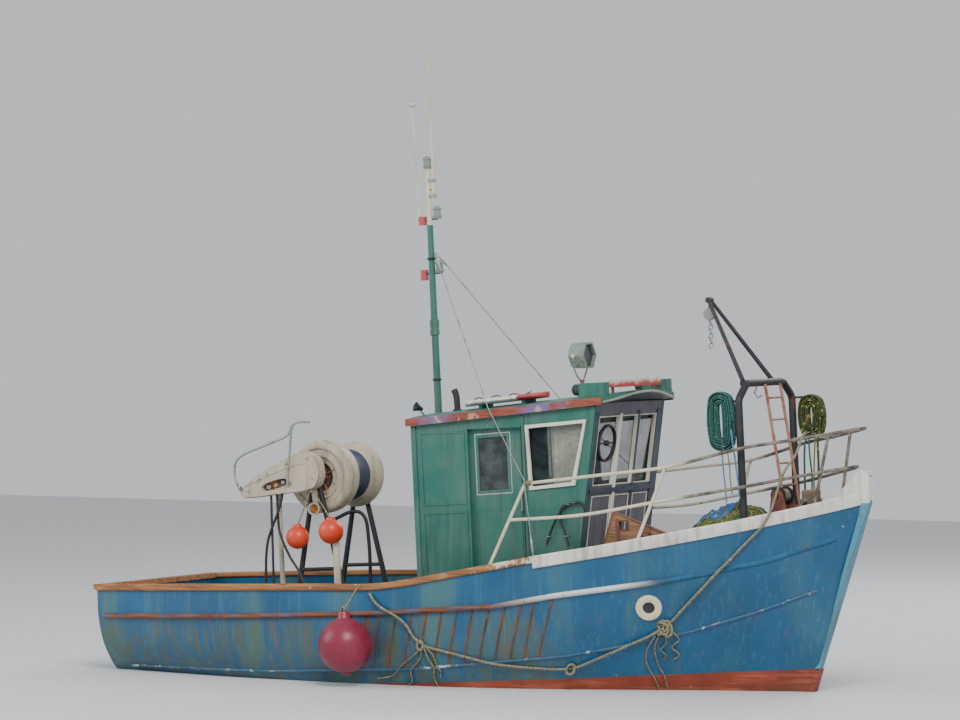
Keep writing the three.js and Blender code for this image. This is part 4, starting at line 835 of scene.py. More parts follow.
def grown(name, tree, points, edges, values, look):
    # the mesh that a tree grows from points and edges, as plain data
    seed = bpy.data.meshes.new(name + "Seed")
    seed.from_pydata([tuple(point) for point in points], edges, [])
    holder = bpy.data.objects.new(name + "Seed", seed)
    bpy.context.scene.collection.objects.link(holder)
    modifier = holder.modifiers.new("grow", "NODES")
    modifier.node_group = tree.group
    for label, value in {**values, "Look": finishes[look]}.items():
        modifier[tree.names[label]] = value
    bpy.context.view_layer.update()
    result = bpy.data.meshes.new_from_object(holder.evaluated_get(bpy.context.evaluated_depsgraph_get()))
    holder.modifiers.remove(modifier)
    bpy.data.objects.remove(holder)
    result.name = name
    result.materials.clear()
    result.shade_smooth()
    return result


def ropeTree():
    # three strands laid round one another along each run of edges
    tree = Tree("laidRope", {"Radius": "Float", "Pitch": "Float", "Spacing": "Float", "Look": "Material"})
    curve = tree.node("GeometryNodeMeshToCurve", {}, {"Mesh": tree.entry.outputs[0]})[0]
    curve = tree.node("GeometryNodeResampleCurve", {"mode": "LENGTH"},
        {"Curve": curve, "Length": tree.value("Spacing")})[0]
    length = tree.node("GeometryNodeSplineParameter", {}, {})[1]
    turns = tree.math("DIVIDE", length, tree.value("Pitch"))
    curve = tree.node("GeometryNodeSetCurveTilt", {},
        {"Curve": curve, "Tilt": tree.math("MULTIPLY", turns, 2 * math.pi)})[0]
    sides = 15
    ring = tree.node("GeometryNodeCurvePrimitiveCircle", {"mode": "RADIUS"},
        {"Resolution": sides, "Radius": 1.0})[0]
    angle = tree.math("MULTIPLY", tree.node("GeometryNodeInputIndex", {}, {})[0], 3 * math.pi / sides)
    wave = tree.math("ABSOLUTE", tree.math("COSINE", angle))
    reach = tree.math("MULTIPLY", tree.math("ADD", tree.math("MULTIPLY", wave, 0.22), 0.78),
        tree.value("Radius"))
    place = tree.node("GeometryNodeInputPosition", {}, {})[0]
    moved = tree.node("ShaderNodeVectorMath", {"operation": "SCALE"}, {0: place, "Scale": reach})[0]
    ring = tree.node("GeometryNodeSetPosition", {}, {"Geometry": ring, "Position": moved})[0]
    body = tree.node("GeometryNodeCurveToMesh", {},
        {"Curve": curve, "Profile Curve": ring, "Fill Caps": True})[0]
    return tree.done(body, tree.value("Look"))


laidRope = ropeTree()


def ropeMesh(name, paths, radius, look):
    # laid rope along one or more paths given in the boat's frame
    points, edges = [], []
    for path in paths:
        start = len(points)
        points += [inWorld(point) for point in path]
        edges += [(start + i, start + i + 1) for i in range(len(path) - 1)]
    values = {"Radius": radius, "Pitch": radius * 2 * 3.6, "Spacing": radius * 0.9}
    return grown(name, laidRope, points, edges, values, look)


def ropePiece(name, body, paths, radius, look, nodes=()):
    return placedPiece(name, ropeMesh(name, paths, radius, look), body, [look], nodes)


def clothPiece(name, points, across, look, thick):
    # a sheet through rows of points, with the number of faces across
    rows = len(points) // (across + 1) - 1
    corners = [j * (across + 1) + i for j in range(rows) for i in range(across)]
    faces = [(a, a + 1, a + across + 2, a + across + 1) for a in corners]
    mesh = bpy.data.meshes.new(name)
    mesh.from_pydata([tuple(inWorld(point)) for point in points], [], faces)
    mesh.shade_smooth()
    piece = placedPiece(name, mesh, "hull", [look], ())
    piece.modifiers.new("thick", "SOLIDIFY").thickness = thick
    return piece


print("kit ready")

# Cords first: the old rope slung along the starboard side, and the hanks on the gantry.
# Columns of the slack rope: x, height, distance off the planking
hullRope = {
    "radius": 0.015,
    "start": [(3.77, -0.335, 2.375), (3.795, -0.398, 2.414), (3.788, -0.458, 2.368), (3.745, -0.512, 2.215),
        (3.64, -0.6, 2.03)],
    "overCap": 3.5,
    "underCap": 3.41,
    "offCap": 0.0406,
    "strake": (2.929, 1.045, 0.0555),
    "knot": (2.414, 0.568, 0.05),
    "slack": [(2.24, 0.465, 0.048), (1.966, 0.352, 0.05), (1.702, 0.25, 0.046), (1.392, 0.15, 0.024),
        (1.011, 0.168, 0.022), (0.627, 0.228, 0.044), (0.332, 0.31, 0.03), (0.09, 0.373, 0.022),
        (-0.08, 0.423, 0.022), (-0.205, 0.52, 0.022), (-0.27, 0.64, 0.036), (-0.39, 0.745, 0.057),
        (-0.5, 0.8, 0.057), (-0.62, 0.88, 0.04), (-0.69, 0.968, 0.022),
    ],
    "samples": 150,
}
capSize = {"outside": 0.025, "inside": 0.085, "thick": 0.055, "whiteFrom": 1.15, "apron": 0.07}


def besideCap(x, z):
    return np.array((x, -(breadthAt(x, min(z, sheerAt(x) - 0.001)) + hullRope["offCap"]), z))


def hullRopeRoute():
    over = besideCap(hullRope["overCap"], sheerAt(hullRope["overCap"]) + capSize["thick"])
    under = besideCap(hullRope["underCap"], sheerAt(hullRope["underCap"]) - capSize["apron"])
    strake, knot = onHull(*hullRope["strake"]), onHull(*hullRope["knot"])
    route = [np.array(point) for point in hullRope["start"]] + [over, under]
    route += [under + (strake - under) * share for share in (0.3, 0.7)] + [strake]
    route += [strake + (knot - strake) * share for share in (0.3, 0.7)] + [knot]
    route += [onHull(*row) for row in hullRope["slack"]]
    return curveThrough(route, hullRope["samples"])


def loopsAt(centre, sizes):
    # a loose knot's bights: ellipses about a centre, each with its own tilt
    paths = []
    for wide, high, tilt, lean in sizes:
        path = []
        for i in range(21):
            angle = 2 * math.pi * i / 20
            a, b = wide * math.cos(angle), high * math.sin(angle)
            path.append(np.array(centre) + np.array((a * math.cos(tilt) - b * math.sin(tilt),
                lean * math.sin(angle), a * math.sin(tilt) + b * math.cos(tilt))))
        paths.append(path)
    return paths


# Tails at the two knots: points by x and height, then how far each stands off the planking
hullTails = [
    ([(2.3, 0.46), (2.22, 0.33), (2.2, 0.18), (2.22, 0.02), (2.21, -0.1)], (0.05, 0.03, 0.02, 0.02, 0.02)),
    ([(2.26, 0.45), (2.14, 0.3), (2.1, 0.16), (2.12, 0.04), (2.13, -0.12)], (0.05, 0.03, 0.02, 0.02, 0.02)),
    ([(2.42, 0.5), (2.46, 0.4), (2.38, 0.33), (2.42, 0.25), (2.36, 0.2)], (0.05, 0.04, 0.04, 0.03, 0.02)),
    ([(2.36, 0.44), (2.33, 0.36), (2.27, 0.31), (2.3, 0.25), (2.27, 0.2)], (0.05, 0.04, 0.03, 0.03, 0.02)),
    ([(-0.1, 0.42), (-0.2, 0.34), (-0.36, 0.24), (-0.5, 0.13), (-0.68, 0.1)],
        (0.035, 0.03, 0.02, 0.02, 0.02)),
    ([(-0.09, 0.41), (-0.06, 0.3), (-0.02, 0.2), (-0.04, 0.1), (-0.02, -0.02)],
        (0.035, 0.03, 0.02, 0.02, 0.02)),
    ([(-0.11, 0.4), (-0.16, 0.28), (-0.28, 0.18), (-0.3, 0.06), (-0.36, 0.02)],
        (0.035, 0.03, 0.02, 0.02, 0.02)),
    ([(-0.08, 0.42), (0.0, 0.33), (0.02, 0.22), (0.05, 0.16), (0.03, 0.1)], (0.035, 0.03, 0.02, 0.02, 0.02)),
]


def makeHullRope():
    route = hullRopeRoute()
    rope = ropePiece("hullRope", "hull", [route], hullRope["radius"], "old_rope", ["hull_rope"])
    upper, lower = onHull(2.36, 0.53, 0.062), onHull(1.392, 0.14, 0.05)
    knots = [
        *loopsAt(upper, [(0.05, 0.075, 0.5, 0.02), (0.075, 0.045, -0.6, -0.02), (0.09, 0.04, 0.75, 0.015)]),
        *loopsAt(upper + np.array((0.05, -0.01, -0.02)), [(0.05, 0.07, 0.2, 0.01)]),
        *loopsAt(lower, [(0.045, 0.05, 0.2, 0.018), (0.06, 0.035, 0.9, -0.018)]),
        *loopsAt(onHull(-0.13, 0.43, 0.035), [(0.035, 0.05, 0.3, 0.012)]),
    ]
    knotPiece = ropePiece("ropeKnots", "hull", knots, 0.014, "old_rope")
    for number, (run, offs) in enumerate(hullTails, 1):
        tail = curveThrough([onHull(x, z, away) for (x, z), away in zip(run, offs)], 24)
        looseCord(f"ropeTail{number}", tail, 0.009, "old_rope")


def looseCord(name, route, radius, look):
    ropePiece(name, "hull", [route], radius, look)
    2 * radius


# Hanks: rope wound in long flat turns and hung on a peg
hanks = [
    {"name": "hank_starboard", "x": 2.975, "y": -0.6, "z": 2.575, "wide": 0.155, "high": 0.3,
        "radius": 0.011, "across": 4, "layers": 5, "look": "tealTwine"},
    {"name": "hank_port", "x": 3.395, "y": 0.6, "z": 2.575, "wide": 0.15, "high": 0.225, "radius": 0.011,
        "across": 4, "layers": 5, "look": "hankTwine"},
]


def hankRoute(hank):
    perTurn, thick = 28, 2 * hank["radius"]
    places = []
    for layer in range(hank["layers"]):
        order = range(hank["across"]) if layer % 2 == 0 else reversed(range(hank["across"]))
        places += [(layer, place) for place in order]
    route = []
    for turn, (layer, place) in enumerate(places[:-1]):
        nextLayer, nextPlace = places[turn + 1]
        for i in range(perTurn):
            share = i / perTurn
            step = share * share * (3 - 2 * share)
            inward = (layer + (nextLayer - layer) * step) * thick * 1.2
            aside = (place + (nextPlace - place) * step - (hank["across"] - 1) / 2) * thick * 1.16
            wide = hank["wide"] - hank["radius"] - inward
            slack = 0.006 * noise.noise((turn * 1.7, share * 3, 0.5))
            angle = 2 * math.pi * share
            tall = hank["high"] - hank["wide"]
            rise = max(-1.0, min(1.0, 1.6 * math.sin(angle)))
            route.append(np.array((
                hank["x"] + (wide - abs(slack)) * math.cos(angle),
                hank["y"] + aside + slack * 0.5,
                hank["z"] + tall * rise + wide * math.sin(angle) - 0.012)))
    return route


def makeHanks():
    for hank in hanks:
        route = curveThrough(hankRoute(hank), 700)
        piece = ropePiece(hank["name"].replace("hank_", "hank-"), "hull", [route], hank["radius"],
            hank["look"], [hank["name"]])


# Ends that hang from the hanks
hankTails = [
    ("hankTailA", 0.008, "paleBlueTwine", [(2.965, -0.6, 2.3), (2.978, -0.61, 2.08), (2.985, -0.6, 1.9),
        (2.991, -0.6, 1.745)]),
    ("hankTailB", 0.01, "paleBlueTwine", [(3.1, -0.645, 2.48), (3.12, -0.665, 2.36), (3.15, -0.667, 2.1),
        (3.175, -0.667, 1.79)]),
    ("hankTailC", 0.008, "old_rope", [(3.02, -0.6, 2.31), (3.05, -0.615, 2.12), (3.055, -0.62, 1.98),
        (3.07, -0.62, 1.83)]),
    ("hankTailD", 0.01, "tealTwine", [(3.37, 0.56, 2.37), (3.4, 0.5, 2.2), (3.42, 0.49, 1.95),
        (3.4, 0.48, 1.62)]),
    ("hankTailF", 0.014, "hankTwine", [(3.5, 0.56, 2.43), (3.5, 0.5, 2.33), (3.51, 0.47, 2.1),
        (3.5, 0.46, 1.72)]),
    ("hankTailG", 0.012, "tealTwine", [(3.34, 0.58, 2.37), (3.335, 0.53, 2.26), (3.33, 0.51, 2.0),
        (3.33, 0.5, 1.64)]),
    ("hankTailE", 0.009, "net_twine", [(3.45, 0.56, 2.4), (3.46, 0.5, 2.24), (3.45, 0.47, 1.9),
        (3.46, 0.46, 1.66)]),
]


makeHullRope()
makeHanks()
for tailName, tailRadius, tailLook, tailRun in hankTails:
    looseCord(tailName, curveThrough(tailRun, 40), tailRadius, tailLook)
print("cords laid")


# Hull
def outerSide(x, low, count):
    # points down the starboard planking, from the sheer to a height or to the keel
    sheer = sheerAt(x)
    heights = steps(sheer, max(low, float(sectionAt(x)[0, 2])), count)
    return [(x, -breadthAt(x, z), z) for z in heights]


def bothSidesRing(side):
    return [*side, *[(x, -y, z) for x, y, z in reversed(side)]]


def hullPlaces(low, high, count, breaks=()):
    places = steps(low, high, count)
    for edge in breaks:
        places += [edge - 2e-4, edge + 2e-4]
    return sorted(places)


def makeTopsides():
    shape = Shape()
    rings = []
    for x in hullPlaces(-4.15, 4.19, 130, (hull["transomInside"], hull["step"], hull["nose"])):
        sheer, floor = sheerAt(x), floorAt(x)
        outer = outerSide(x, hull["paintLine"], 34)
        inner = [(x, -max(breadthAt(x, z) - hull["planking"], 0.01), z) for z in steps(floor, sheer, 3)]
        rings.append(bothSidesRing([*inner, *outer]))
    shape.loft(rings)
    made("planking", "hull", "hullPlanks", shape, ["hull_topsides", "bulwarks"], "hull_paint", angle=40)


def makeBottom():
    shape = Shape()
    rings = []
    for x in steps(-4.15, 3.63, 110):
        section = sectionAt(x)
        low = float(section[0, 2])
        top = hull["paintLine"] - 0.0004
        heights = [top - (top - low) * share ** 1.6 for share in steps(1, 0, 22)]
        side = [(x, -breadthAt(x, z) - 0.001, z) for z in heights]
        rings.append(bothSidesRing(side[::-1]))
    shape.loft(rings)
    made("bottom", "hull", "antifouling", shape, ["hull_bottom"], angle=40)


stemFace = [(4.3, 1.7), (4.05, 1.04), (3.805, 0.4), (3.667, 0.0455)]
stemHead = [(4.215, 2.005), (4.245, 2.008), (4.285, 1.985), (4.306, 1.955), (4.308, 1.86), (4.3015, 1.7)]
knee = [(4.046, 1.7), (3.925, 1.722), (3.97, 1.79), (4.07, 1.87), (4.15, 1.96)]


def makeStem():
    timber, head = Shape(), Shape()
    timber.plate([*stemFace, (3.3, 0.0455), (4.0, 1.6), (4.046, 1.7)], -0.055, 0.055)
    head.plate([*stemHead, *knee], -0.0555, 0.0555)
    joinedPiece("stemTimber", "hull", [(timber, "stem_paint"), (head, "whiteTimber")], ["stem"],
        "stem_paint", bevel=0.012, angle=25, segments=3)


# Rail cap and strakes
def capRing(x, apron):
    sheer = sheerAt(x)
    breadth = breadthAt(x, sheer - 0.001)
    inner = max(breadth - capSize["inside"], 0.004)
    outer, top = breadth + capSize["outside"], sheer + capSize["thick"]
    low = sheer - apron
    skin, lip = breadthAt(x, low) + 0.0006, breadthAt(x, low) + capSize["outside"]
    edge = 0.012
    worn = 0.0016 * noise.noise((x * 5, 0.4, 0))
    half = [
        (inner + edge, sheer + 0.0006), (breadth + 0.0006, sheer + 0.0006), (skin, low),
        (lip - edge * 0.6, low), (lip, low + edge * 0.8), (outer, top - edge + worn),
        (outer - edge * 0.35, top - edge * 0.35 + worn), (outer - edge, top + worn),
        (inner + edge, top + worn), (inner + edge * 0.35, top - edge * 0.35), (inner, top - edge),
        (inner, sheer + edge),
    ]
    return [(x, -y, z) for y, z in half]


def makeCaps():
    white = Shape()
    white.loft([capRing(x, capSize["apron"]) for x in steps(capSize["whiteFrom"], 4.045, 60)])
    white.loft([[(x, min(y, -0.0553), z) for x, y, z in capRing(x, capSize["apron"])]
        for x in steps(4.0452, 4.215, 6)])
    white.mirrored()
    knee = sheerAt(4.0)
    white.block((3.9, -0.25, knee - 0.004), (4.044, 0.25, knee + capSize["thick"] + 0.008))
    made("whiteRail", "hull", "whiteTimber", white, ["rail_cap_white"], "white_paint", angle=30)
    bare = Shape()
    bare.loft([capRing(x, 0.012) for x in steps(-4.149, capSize["whiteFrom"] - 0.004, 90)])
    bare.mirrored()
    aft, sheer = -4.15, sheerAt(-4.15)
    half = breadthAt(aft, sheer) + capSize["outside"] - 0.002
    bare.block((aft - 0.03, -half, sheer + 0.0006), (aft + 0.128, half, sheer + capSize["thick"] - 0.001))
    made("bareRail", "hull", "railTimber", bare, ["rail_cap_bare"], "bare_wood", angle=30)


upperStrake = [(-4.06, 0.79), (-2.2, 0.768), (-0.6, 0.765), (0.683, 0.802), (1.324, 0.89), (2.473, 1.002),
    (3.375, 1.155), (3.98, 1.345)]
lowerStrake = [(-3.9, 0.26), (-2.0, 0.19), (-0.3, 0.19), (1.359, 0.275), (1.843, 0.344), (2.554, 0.471),
    (3.211, 0.645), (3.76, 0.835)]


def strakeLoft(shape, line, proud, deep, fade=None):
    rings = []
    for x in steps(line[0][0] + 0.002, line[-1][0] - 0.002, 110):
        z = heightOn(line, x)
        half = deep / 2
        out = proud if fade is None else proud * max(0.28, min(1.0, (fade - x) / 0.9))
        worn = 1 + 0.09 * noise.noise((x * 4.0, z, 2.0))
        skin = breadthAt(x, z)
        section = [(-0.012, -half), (out * 0.75, -half * 0.72), (out * worn, -half * 0.3),
            (out * worn, half * 0.3), (out * 0.75, half * 0.72), (-0.012, half)]
        rings.append([(x, -(skin + away), z + up) for away, up in section])
    shape.loft(rings)
    return shape


def makeStrakes():
    starboard = strakeLoft(Shape(), upperStrake, 0.042, 0.06, fade=3.0)
    port = Shape().add([(x, -y, z) for x, y, z in starboard.points], starboard.faces)
    for shape, side in ((starboard, "Starboard"), (port, "Port")):
        node = "rubbing_strake_" + side.lower()
        made("upperStrake" + side, "hull", "strakeWorn", shape, [node], "bare_wood", angle=50)
    low = strakeLoft(Shape(), lowerStrake, 0.016, 0.034).mirrored()
    made("lowerStrakes", "hull", "lowStrake", low, (), "hull_paint", angle=50)


# Rusty battens over the planking between the strakes: x at the top, x at the foot
battens = [
    (1.324, 1.1), (1.132, 0.953), (0.994, 0.808), (0.818, 0.645), (0.64, 0.48), (0.46, 0.31), (0.29, 0.14),
    (0.12, -0.02), (-0.05, -0.19), (-0.22, -0.36), (-0.4, -0.53), (-0.58, -0.7), (-0.75, -0.87),
    (-0.93, -1.05),
]
battenSize = {"Width": 0.0115, "Depth": 0.01}


def battenTree():
    tree = Tree("battens", {"Width": "Float", "Depth": "Float", "Look": "Material"})
    curve = tree.node("GeometryNodeMeshToCurve", {}, {"Mesh": tree.entry.outputs[0]})[0]
    strip = tree.node("GeometryNodeCurvePrimitiveCircle", {"mode": "RADIUS"},
        {"Resolution": 8, "Radius": 1.0})[0]
    body = tree.node("GeometryNodeCurveToMesh", {}, {"Curve": curve, "Profile Curve": strip,
        "Scale": tree.value("Width"), "Fill Caps": True})[0]
    return tree.done(body, tree.value("Look"))


def makeBattens():
    points, edges = [], []
    for hand in (-1, 1):
        for top, foot in battens:
            start = len(points)
            high, low = heightOn(upperStrake, top) - 0.03, heightOn(lowerStrake, foot) + 0.01
            for i in range(9):
                share = i / 8
                x = top + (foot - top) * share + 0.006 * noise.noise((top * 9, share * 3, 0))
                points.append(inWorld(onHull(x, high + (low - high) * share, -0.001, hand)))
            edges += [(start + i, start + i + 1) for i in range(8)]
    mesh = grown("battens", battenTree(), points, edges, battenSize, "battenRust")
    placedPiece("battens", mesh, "hull", ["battenRust"], ())


# Outlet rings: a cream collar round a shallow blind mouth, painted near-black as painted shade for the depth
# of an open pipe
outlet = {"x": 2.24, "z": 0.737, "outer": 0.132, "inner": 0.06, "thick": 0.022}


def makeOutlets():
    outer, inner, thick = outlet["outer"], outlet["inner"], outlet["thick"]
    profile = [(inner, -0.03), (outer, -0.03), (outer, thick * 0.5), (outer - 0.006, thick * 0.9),
        (outer - 0.016, thick), (inner + 0.014, thick), (inner + 0.004, thick * 0.8), (inner, thick * 0.4),
        (inner, -0.03)]
    x, z = outlet["x"], outlet["z"]
    for hand, side in ((-1, "starboard"), (1, "port")):
        centre = onHull(x, z, 0.0, hand)
        slopeX = Vector(onHull(x + 0.2, z, 0, hand) - onHull(x - 0.2, z, 0, hand))
        slopeZ = Vector(onHull(x, z + 0.2, 0, hand) - onHull(x, z - 0.2, 0, hand))
        out = slopeX.cross(slopeZ).normalized()
        if out.y * hand < 0:
            out.negate()
        shape = Shape().turned(profile, centre, out, 40, capped=False)
        shape.look = 1
        shape.turned([(0, 0.0035), (inner - 0.001, 0.003), (inner - 0.001, -0.02), (0, -0.02)], centre, out,
            32)
        made(f"outlet-{side}", "hull", ["cream_paint", "mouthPaintedShade"], shape, (), "gear_cream")


makeTopsides()
makeBottom()
makeStem()
makeCaps()
makeStrakes()
makeBattens()
makeOutlets()
print("hull made")

# Wheelhouse
house = {
    "aft": -0.5, "half": 0.75, "wall": 0.045, "foot": 1.366, "top": 1.651,
    "aftHeight": 2.655, "foreHeight": 2.795, "deck": 0.6803,
}
sideWindow = [(0.85, 1.945), (1.375, 1.978), (1.535, 2.64), (0.828, 2.605)]
doorway = oblong(0.15, 0.74, 0.77, 2.585)
doorLeaf = oblong(0.12, 0.716, 0.8, 2.61)
doorLight = [(0.205, 1.91), (0.62, 1.92), (0.62, 2.545), (0.205, 2.53)]
sidePanels = [
    [(-0.4, 1.82), (0.115, 1.825), (0.118, 2.565), (-0.405, 2.57)],
    [(-0.4, 0.8), (0.115, 0.8), (0.118, 1.755), (-0.405, 1.745)],
]
frontBays = [(-0.65, -0.205), (-0.165, 0.195), (0.235, 0.6)]
frontSlope = (house["top"] - house["foot"]) / (house["foreHeight"] - deckTop(house["foot"]))
eavesRise = (house["foreHeight"] - house["aftHeight"]) / (house["top"] - house["aft"])


def frontAt(z):
    return house["foot"] + frontSlope * (z - deckTop(house["foot"]))


def eavesAt(x):
    return house["aftHeight"] + eavesRise * (x - house["aft"])


def inset(outline, amount):
    middle = [sum(point[axis] for point in outline) / len(outline) for axis in (0, 1)]
    return [tuple(value - math.copysign(amount, value - middle[axis]) for axis, value in enumerate(point))
        for point in outline]


def frameStrip(shape, outline, width, low, high, axis=1):
    return shape.plate(inset(outline, -width), low, high, axis, [outline])


houseStep = deckTop(house["foot"]) + 0.0123  # the walls stand on the foredeck here


def sideOutline():
    step = houseStep
    top = eavesAt(house["top"])
    return [(house["aft"], house["deck"]), (1.29, house["deck"]), (1.29, step), (frontAt(step), step),
        (frontAt(top), top), (house["aft"], eavesAt(house["aft"]))]


def houseSide(hand, holes):
    wall, trim, frame = Shape(), Shape(), Shape()
    outside = hand * house["half"]
    wall.plate(sideOutline(), *span(outside, -hand, 0, house["wall"]), 1, holes)
    for panel in sidePanels:
        frameStrip(trim, panel, 0.018, *span(outside, hand, -0.004, 0.007))
    trim.plate([(-0.5, 0.69), (-0.445, 0.69), (-0.448, 2.65), (-0.5, 2.648)],
        *span(outside, hand, -0.01, 0.012))
    trim.plate(oblong(0.786, 0.75, 0.812, 2.7), *span(outside, hand, -0.01, 0.01))
    low, high = 1.21, 2.76
    corner = [(frontAt(low) - 0.05, low), (frontAt(low), low), (frontAt(high), high),
        (frontAt(high) - 0.05, high)]
    trim.plate(corner, *span(outside, hand, -0.01, 0.009))
    outer = inset(sideWindow, -0.036)
    wavy = []
    for (a, b), (c, d) in zip(outer, outer[1:] + outer[:1]):
        for share in steps(0, 1, 8)[:-1]:
            wavy.append((a + (c - a) * share + 0.003 * noise.noise((a * 9, share * 5, b)),
                b + (d - b) * share + 0.003 * noise.noise((b * 7, share * 5, a))))
    frame.plate(wavy, *span(outside, hand, -0.005, 0.017), 1, [inset(sideWindow, -0.001)])
    return wall, trim, frame


def makeHouseSides():
    for hand, side, holes in ((-1, "Starboard", [sideWindow, doorway]), (1, "Port", [sideWindow])):
        wall, trim, frame = houseSide(hand, holes)
        parts = [(wall, "house_green"), (trim, "house_green"), (frame, "windowFrame")]
        joinedPiece("houseSide" + side, "hull", parts, ["house_side_" + side.lower()], "house_green",
            bevel=0.003, angle=25)
    edge = Shape()
    for hand in (-1, 1):
        edge.tube([(frontAt(z) - 0.006, hand * 0.7508, z) for z in (1.2, 1.7, 2.2, 2.78)], 0.008, 8)
    edge.bar((0.776, -0.7515, 0.76), (0.776, -0.7515, 2.6), 0.006, sides=8)
    made("houseSeams", "hull", "black_steel", edge)


def makeHouseFront():
    wall, pale, dark, white = Shape(), Shape(), Shape(), Shape()
    half = house["half"] - house["wall"] - boat["gap"]
    lights = [oblong(a, 1.96, b, 2.66) for a, b in frontBays]
    wall.plate(oblong(-half, houseStep, half, 2.79), -0.045, 0.0, 0, lights)
    for (a, b), light in zip(frontBays, lights):
        frameStrip(pale, oblong(a + 0.02, 1.33, b - 0.02, 1.86), 0.012, -0.003, 0.006, 0)
        frameStrip(pale, light, 0.012, -0.03, 0.007, 0)
    white.plate(oblong(-0.205, 1.3, -0.165, 2.68), -0.004, 0.016, 0)
    dark.plate(oblong(-half, 1.888, half, 1.932), -0.004, 0.02, 0)
    for a, b in ((-half, -0.66), (0.2, 0.235), (0.61, half)):
        dark.plate(oblong(a, 1.3, b, 2.7), -0.004, 0.0125, 0)
    for shape in (wall, pale, dark, white):
        shape.points = [(x + frontAt(z), y, z) for x, y, z in shape.points]
    parts = [(wall, "panel_grey"), (pale, "windowFrame"), (dark, "navy_paint"), (white, "whiteTimber")]
    joinedPiece("houseFront", "hull", parts, ["house_front"], "panel_grey", bevel=0.002, angle=25)


def makeHouseBack():
    wall, frame = Shape(), Shape()
    half = house["half"] - house["wall"] - boat["gap"]
    light = oblong(-0.33, 1.95, 0.33, 2.45)
    wall.plate(oblong(-half, house["deck"], half, 2.65), house["aft"], house["aft"] + house["wall"], 0,
        [light])
    frameStrip(wall, oblong(-0.6, 0.8, 0.6, 1.78), 0.018, -0.507, -0.496, 0)
    frameStrip(frame, light, 0.03, -0.514, -0.498, 0)
    joinedPiece("houseBack", "hull", [(wall, "house_green"), (frame, "windowFrame")], ["house_back"],
        "house_green", bevel=0.003, angle=25)


def makeDoor():
    leaf, seal = Shape(), Shape()
    outside = -0.7
    leaf.plate(doorLeaf, outside, outside + 0.032, 1, [doorLight])
    frameStrip(leaf, inset(doorLight, -0.012), 0.03, outside - 0.0025, outside + 0.01)
    frameStrip(leaf, [(0.2, 0.82), (0.72, 0.82), (0.72, 1.78), (0.2, 1.76)], 0.018, outside - 0.003,
        outside + 0.004)
    frameStrip(seal, inset(doorLight, -0.0005), 0.009, outside + 0.004, outside + 0.012)
    grip = Shape().tube([(0.74, -0.697, 1.73), (0.74, -0.728, 1.735), (0.74, -0.728, 1.865),
        (0.74, -0.697, 1.87)], 0.008, 10)
    joinedPiece("doorLeaf", "wheelhouse_door", [(leaf, "house_green"), (seal, "whiteTimber"),
        (grip, "galvanised")], ["door"], "house_green", bevel=0.002, angle=25)


roof = {"aft": -0.525, "fore": 1.86, "bow": 0.11, "half": 0.785, "edge": 0.062, "camber": 0.045,
    "visorFrom": 1.6}


def roofTopAt(x, y):
    return eavesAt(x) + roof["edge"] + roof["camber"] * (1 - (y / roof["half"]) ** 2)


def visorLow(x, y):
    # the roof is flat below, and arched below its visor
    rise = min(max((x - roof["visorFrom"]) / (roof["fore"] - roof["visorFrom"]), 0), 1)
    arch = 1 - abs(y / roof["half"]) ** 2.4
    return eavesAt(x) + 0.0004 + rise * (roofTopAt(x, y) - eavesAt(x) - 0.03) * arch


def roofShift(x, share):
    bend = max(0.0, (x - 1.45) / (roof["fore"] - 1.45))
    return x - roof["bow"] * share * share * bend


def makeRoof():
    roofing, trim, boxes, lamps, horn = Shape(), Shape(), Shape(), Shape(), Shape()
    across = steps(-1, 1, 24)
    rings = []
    for x in steps(roof["aft"], roof["fore"], 34):
        places = [(roofShift(x, share), share * roof["half"]) for share in across]
        top = [(a, b, roofTopAt(a, b)) for a, b in places]
        rings.append([*top, *((a, b, visorLow(a, b)) for a, b in reversed(places))])
    roofing.loft(rings)
    edge = []
    for share in steps(-1, 1, 40):
        x, y = roofShift(roof["fore"], share), share * roof["half"]
        edge.append((x - 0.006, y * 0.998, visorLow(x, y) + 0.006))
    trim.tube(edge, 0.014, 10)
    foot, top = roofTopAt(1.46, 0.752) - 0.005, roofTopAt(1.745, 0.69) + 0.13
    lampProfile = [(0, -0.1), (0.03, -0.1), (0.056, -0.075), (0.06, -0.04), (0.052, -0.035), (0.052, -0.02),
        (0.062, -0.015), (0.062, 0.004), (0, 0.004)]
    for y in (-0.69, 0.69):
        boxes.block((1.46, y - 0.062, foot), (1.745, y + 0.062, top))
        lamps.turned(lampProfile, (1.46, y, top - 0.065), (1, 0, 0), 28)
    foot = roofTopAt(-0.4, -0.69)
    horn.tube([(-0.39, -0.64, foot - 0.03), (-0.4, -0.65, foot + 0.02), (-0.43, -0.655, foot + 0.055)],
        0.009, 10)
    horn.turned([(0, -0.035), (0.02, -0.035), (0.026, -0.01), (0.036, 0.02), (0.05, 0.045), (0.053, 0.052),
        (0.046, 0.05), (0.02, 0.02), (0, 0.018)], (-0.445, -0.655, foot + 0.085), (-0.35, -0.5, 0.25), 28)
    parts = [(roofing, "house_green"), (trim, "rail_beige"), (boxes, "house_green"), (lamps, "black_steel"),
        (horn, "black_steel")]
    piece = joinedPiece("wheelhouseRoof", "hull", parts, ["house_roof"], "house_green", bevel=0.004,
        angle=30)
    # The downward faces of the roof's fore end, under the visor, are painted navy: painted shade under the
    # overhang.
    dark = len(piece.data.materials)
    piece.data.materials.append(finishes["navy_paint"])
    for face in piece.data.polygons:
        if face.material_index == 0 and face.normal.z < -0.5 and face.center.x > 1.3:
            face.material_index = dark


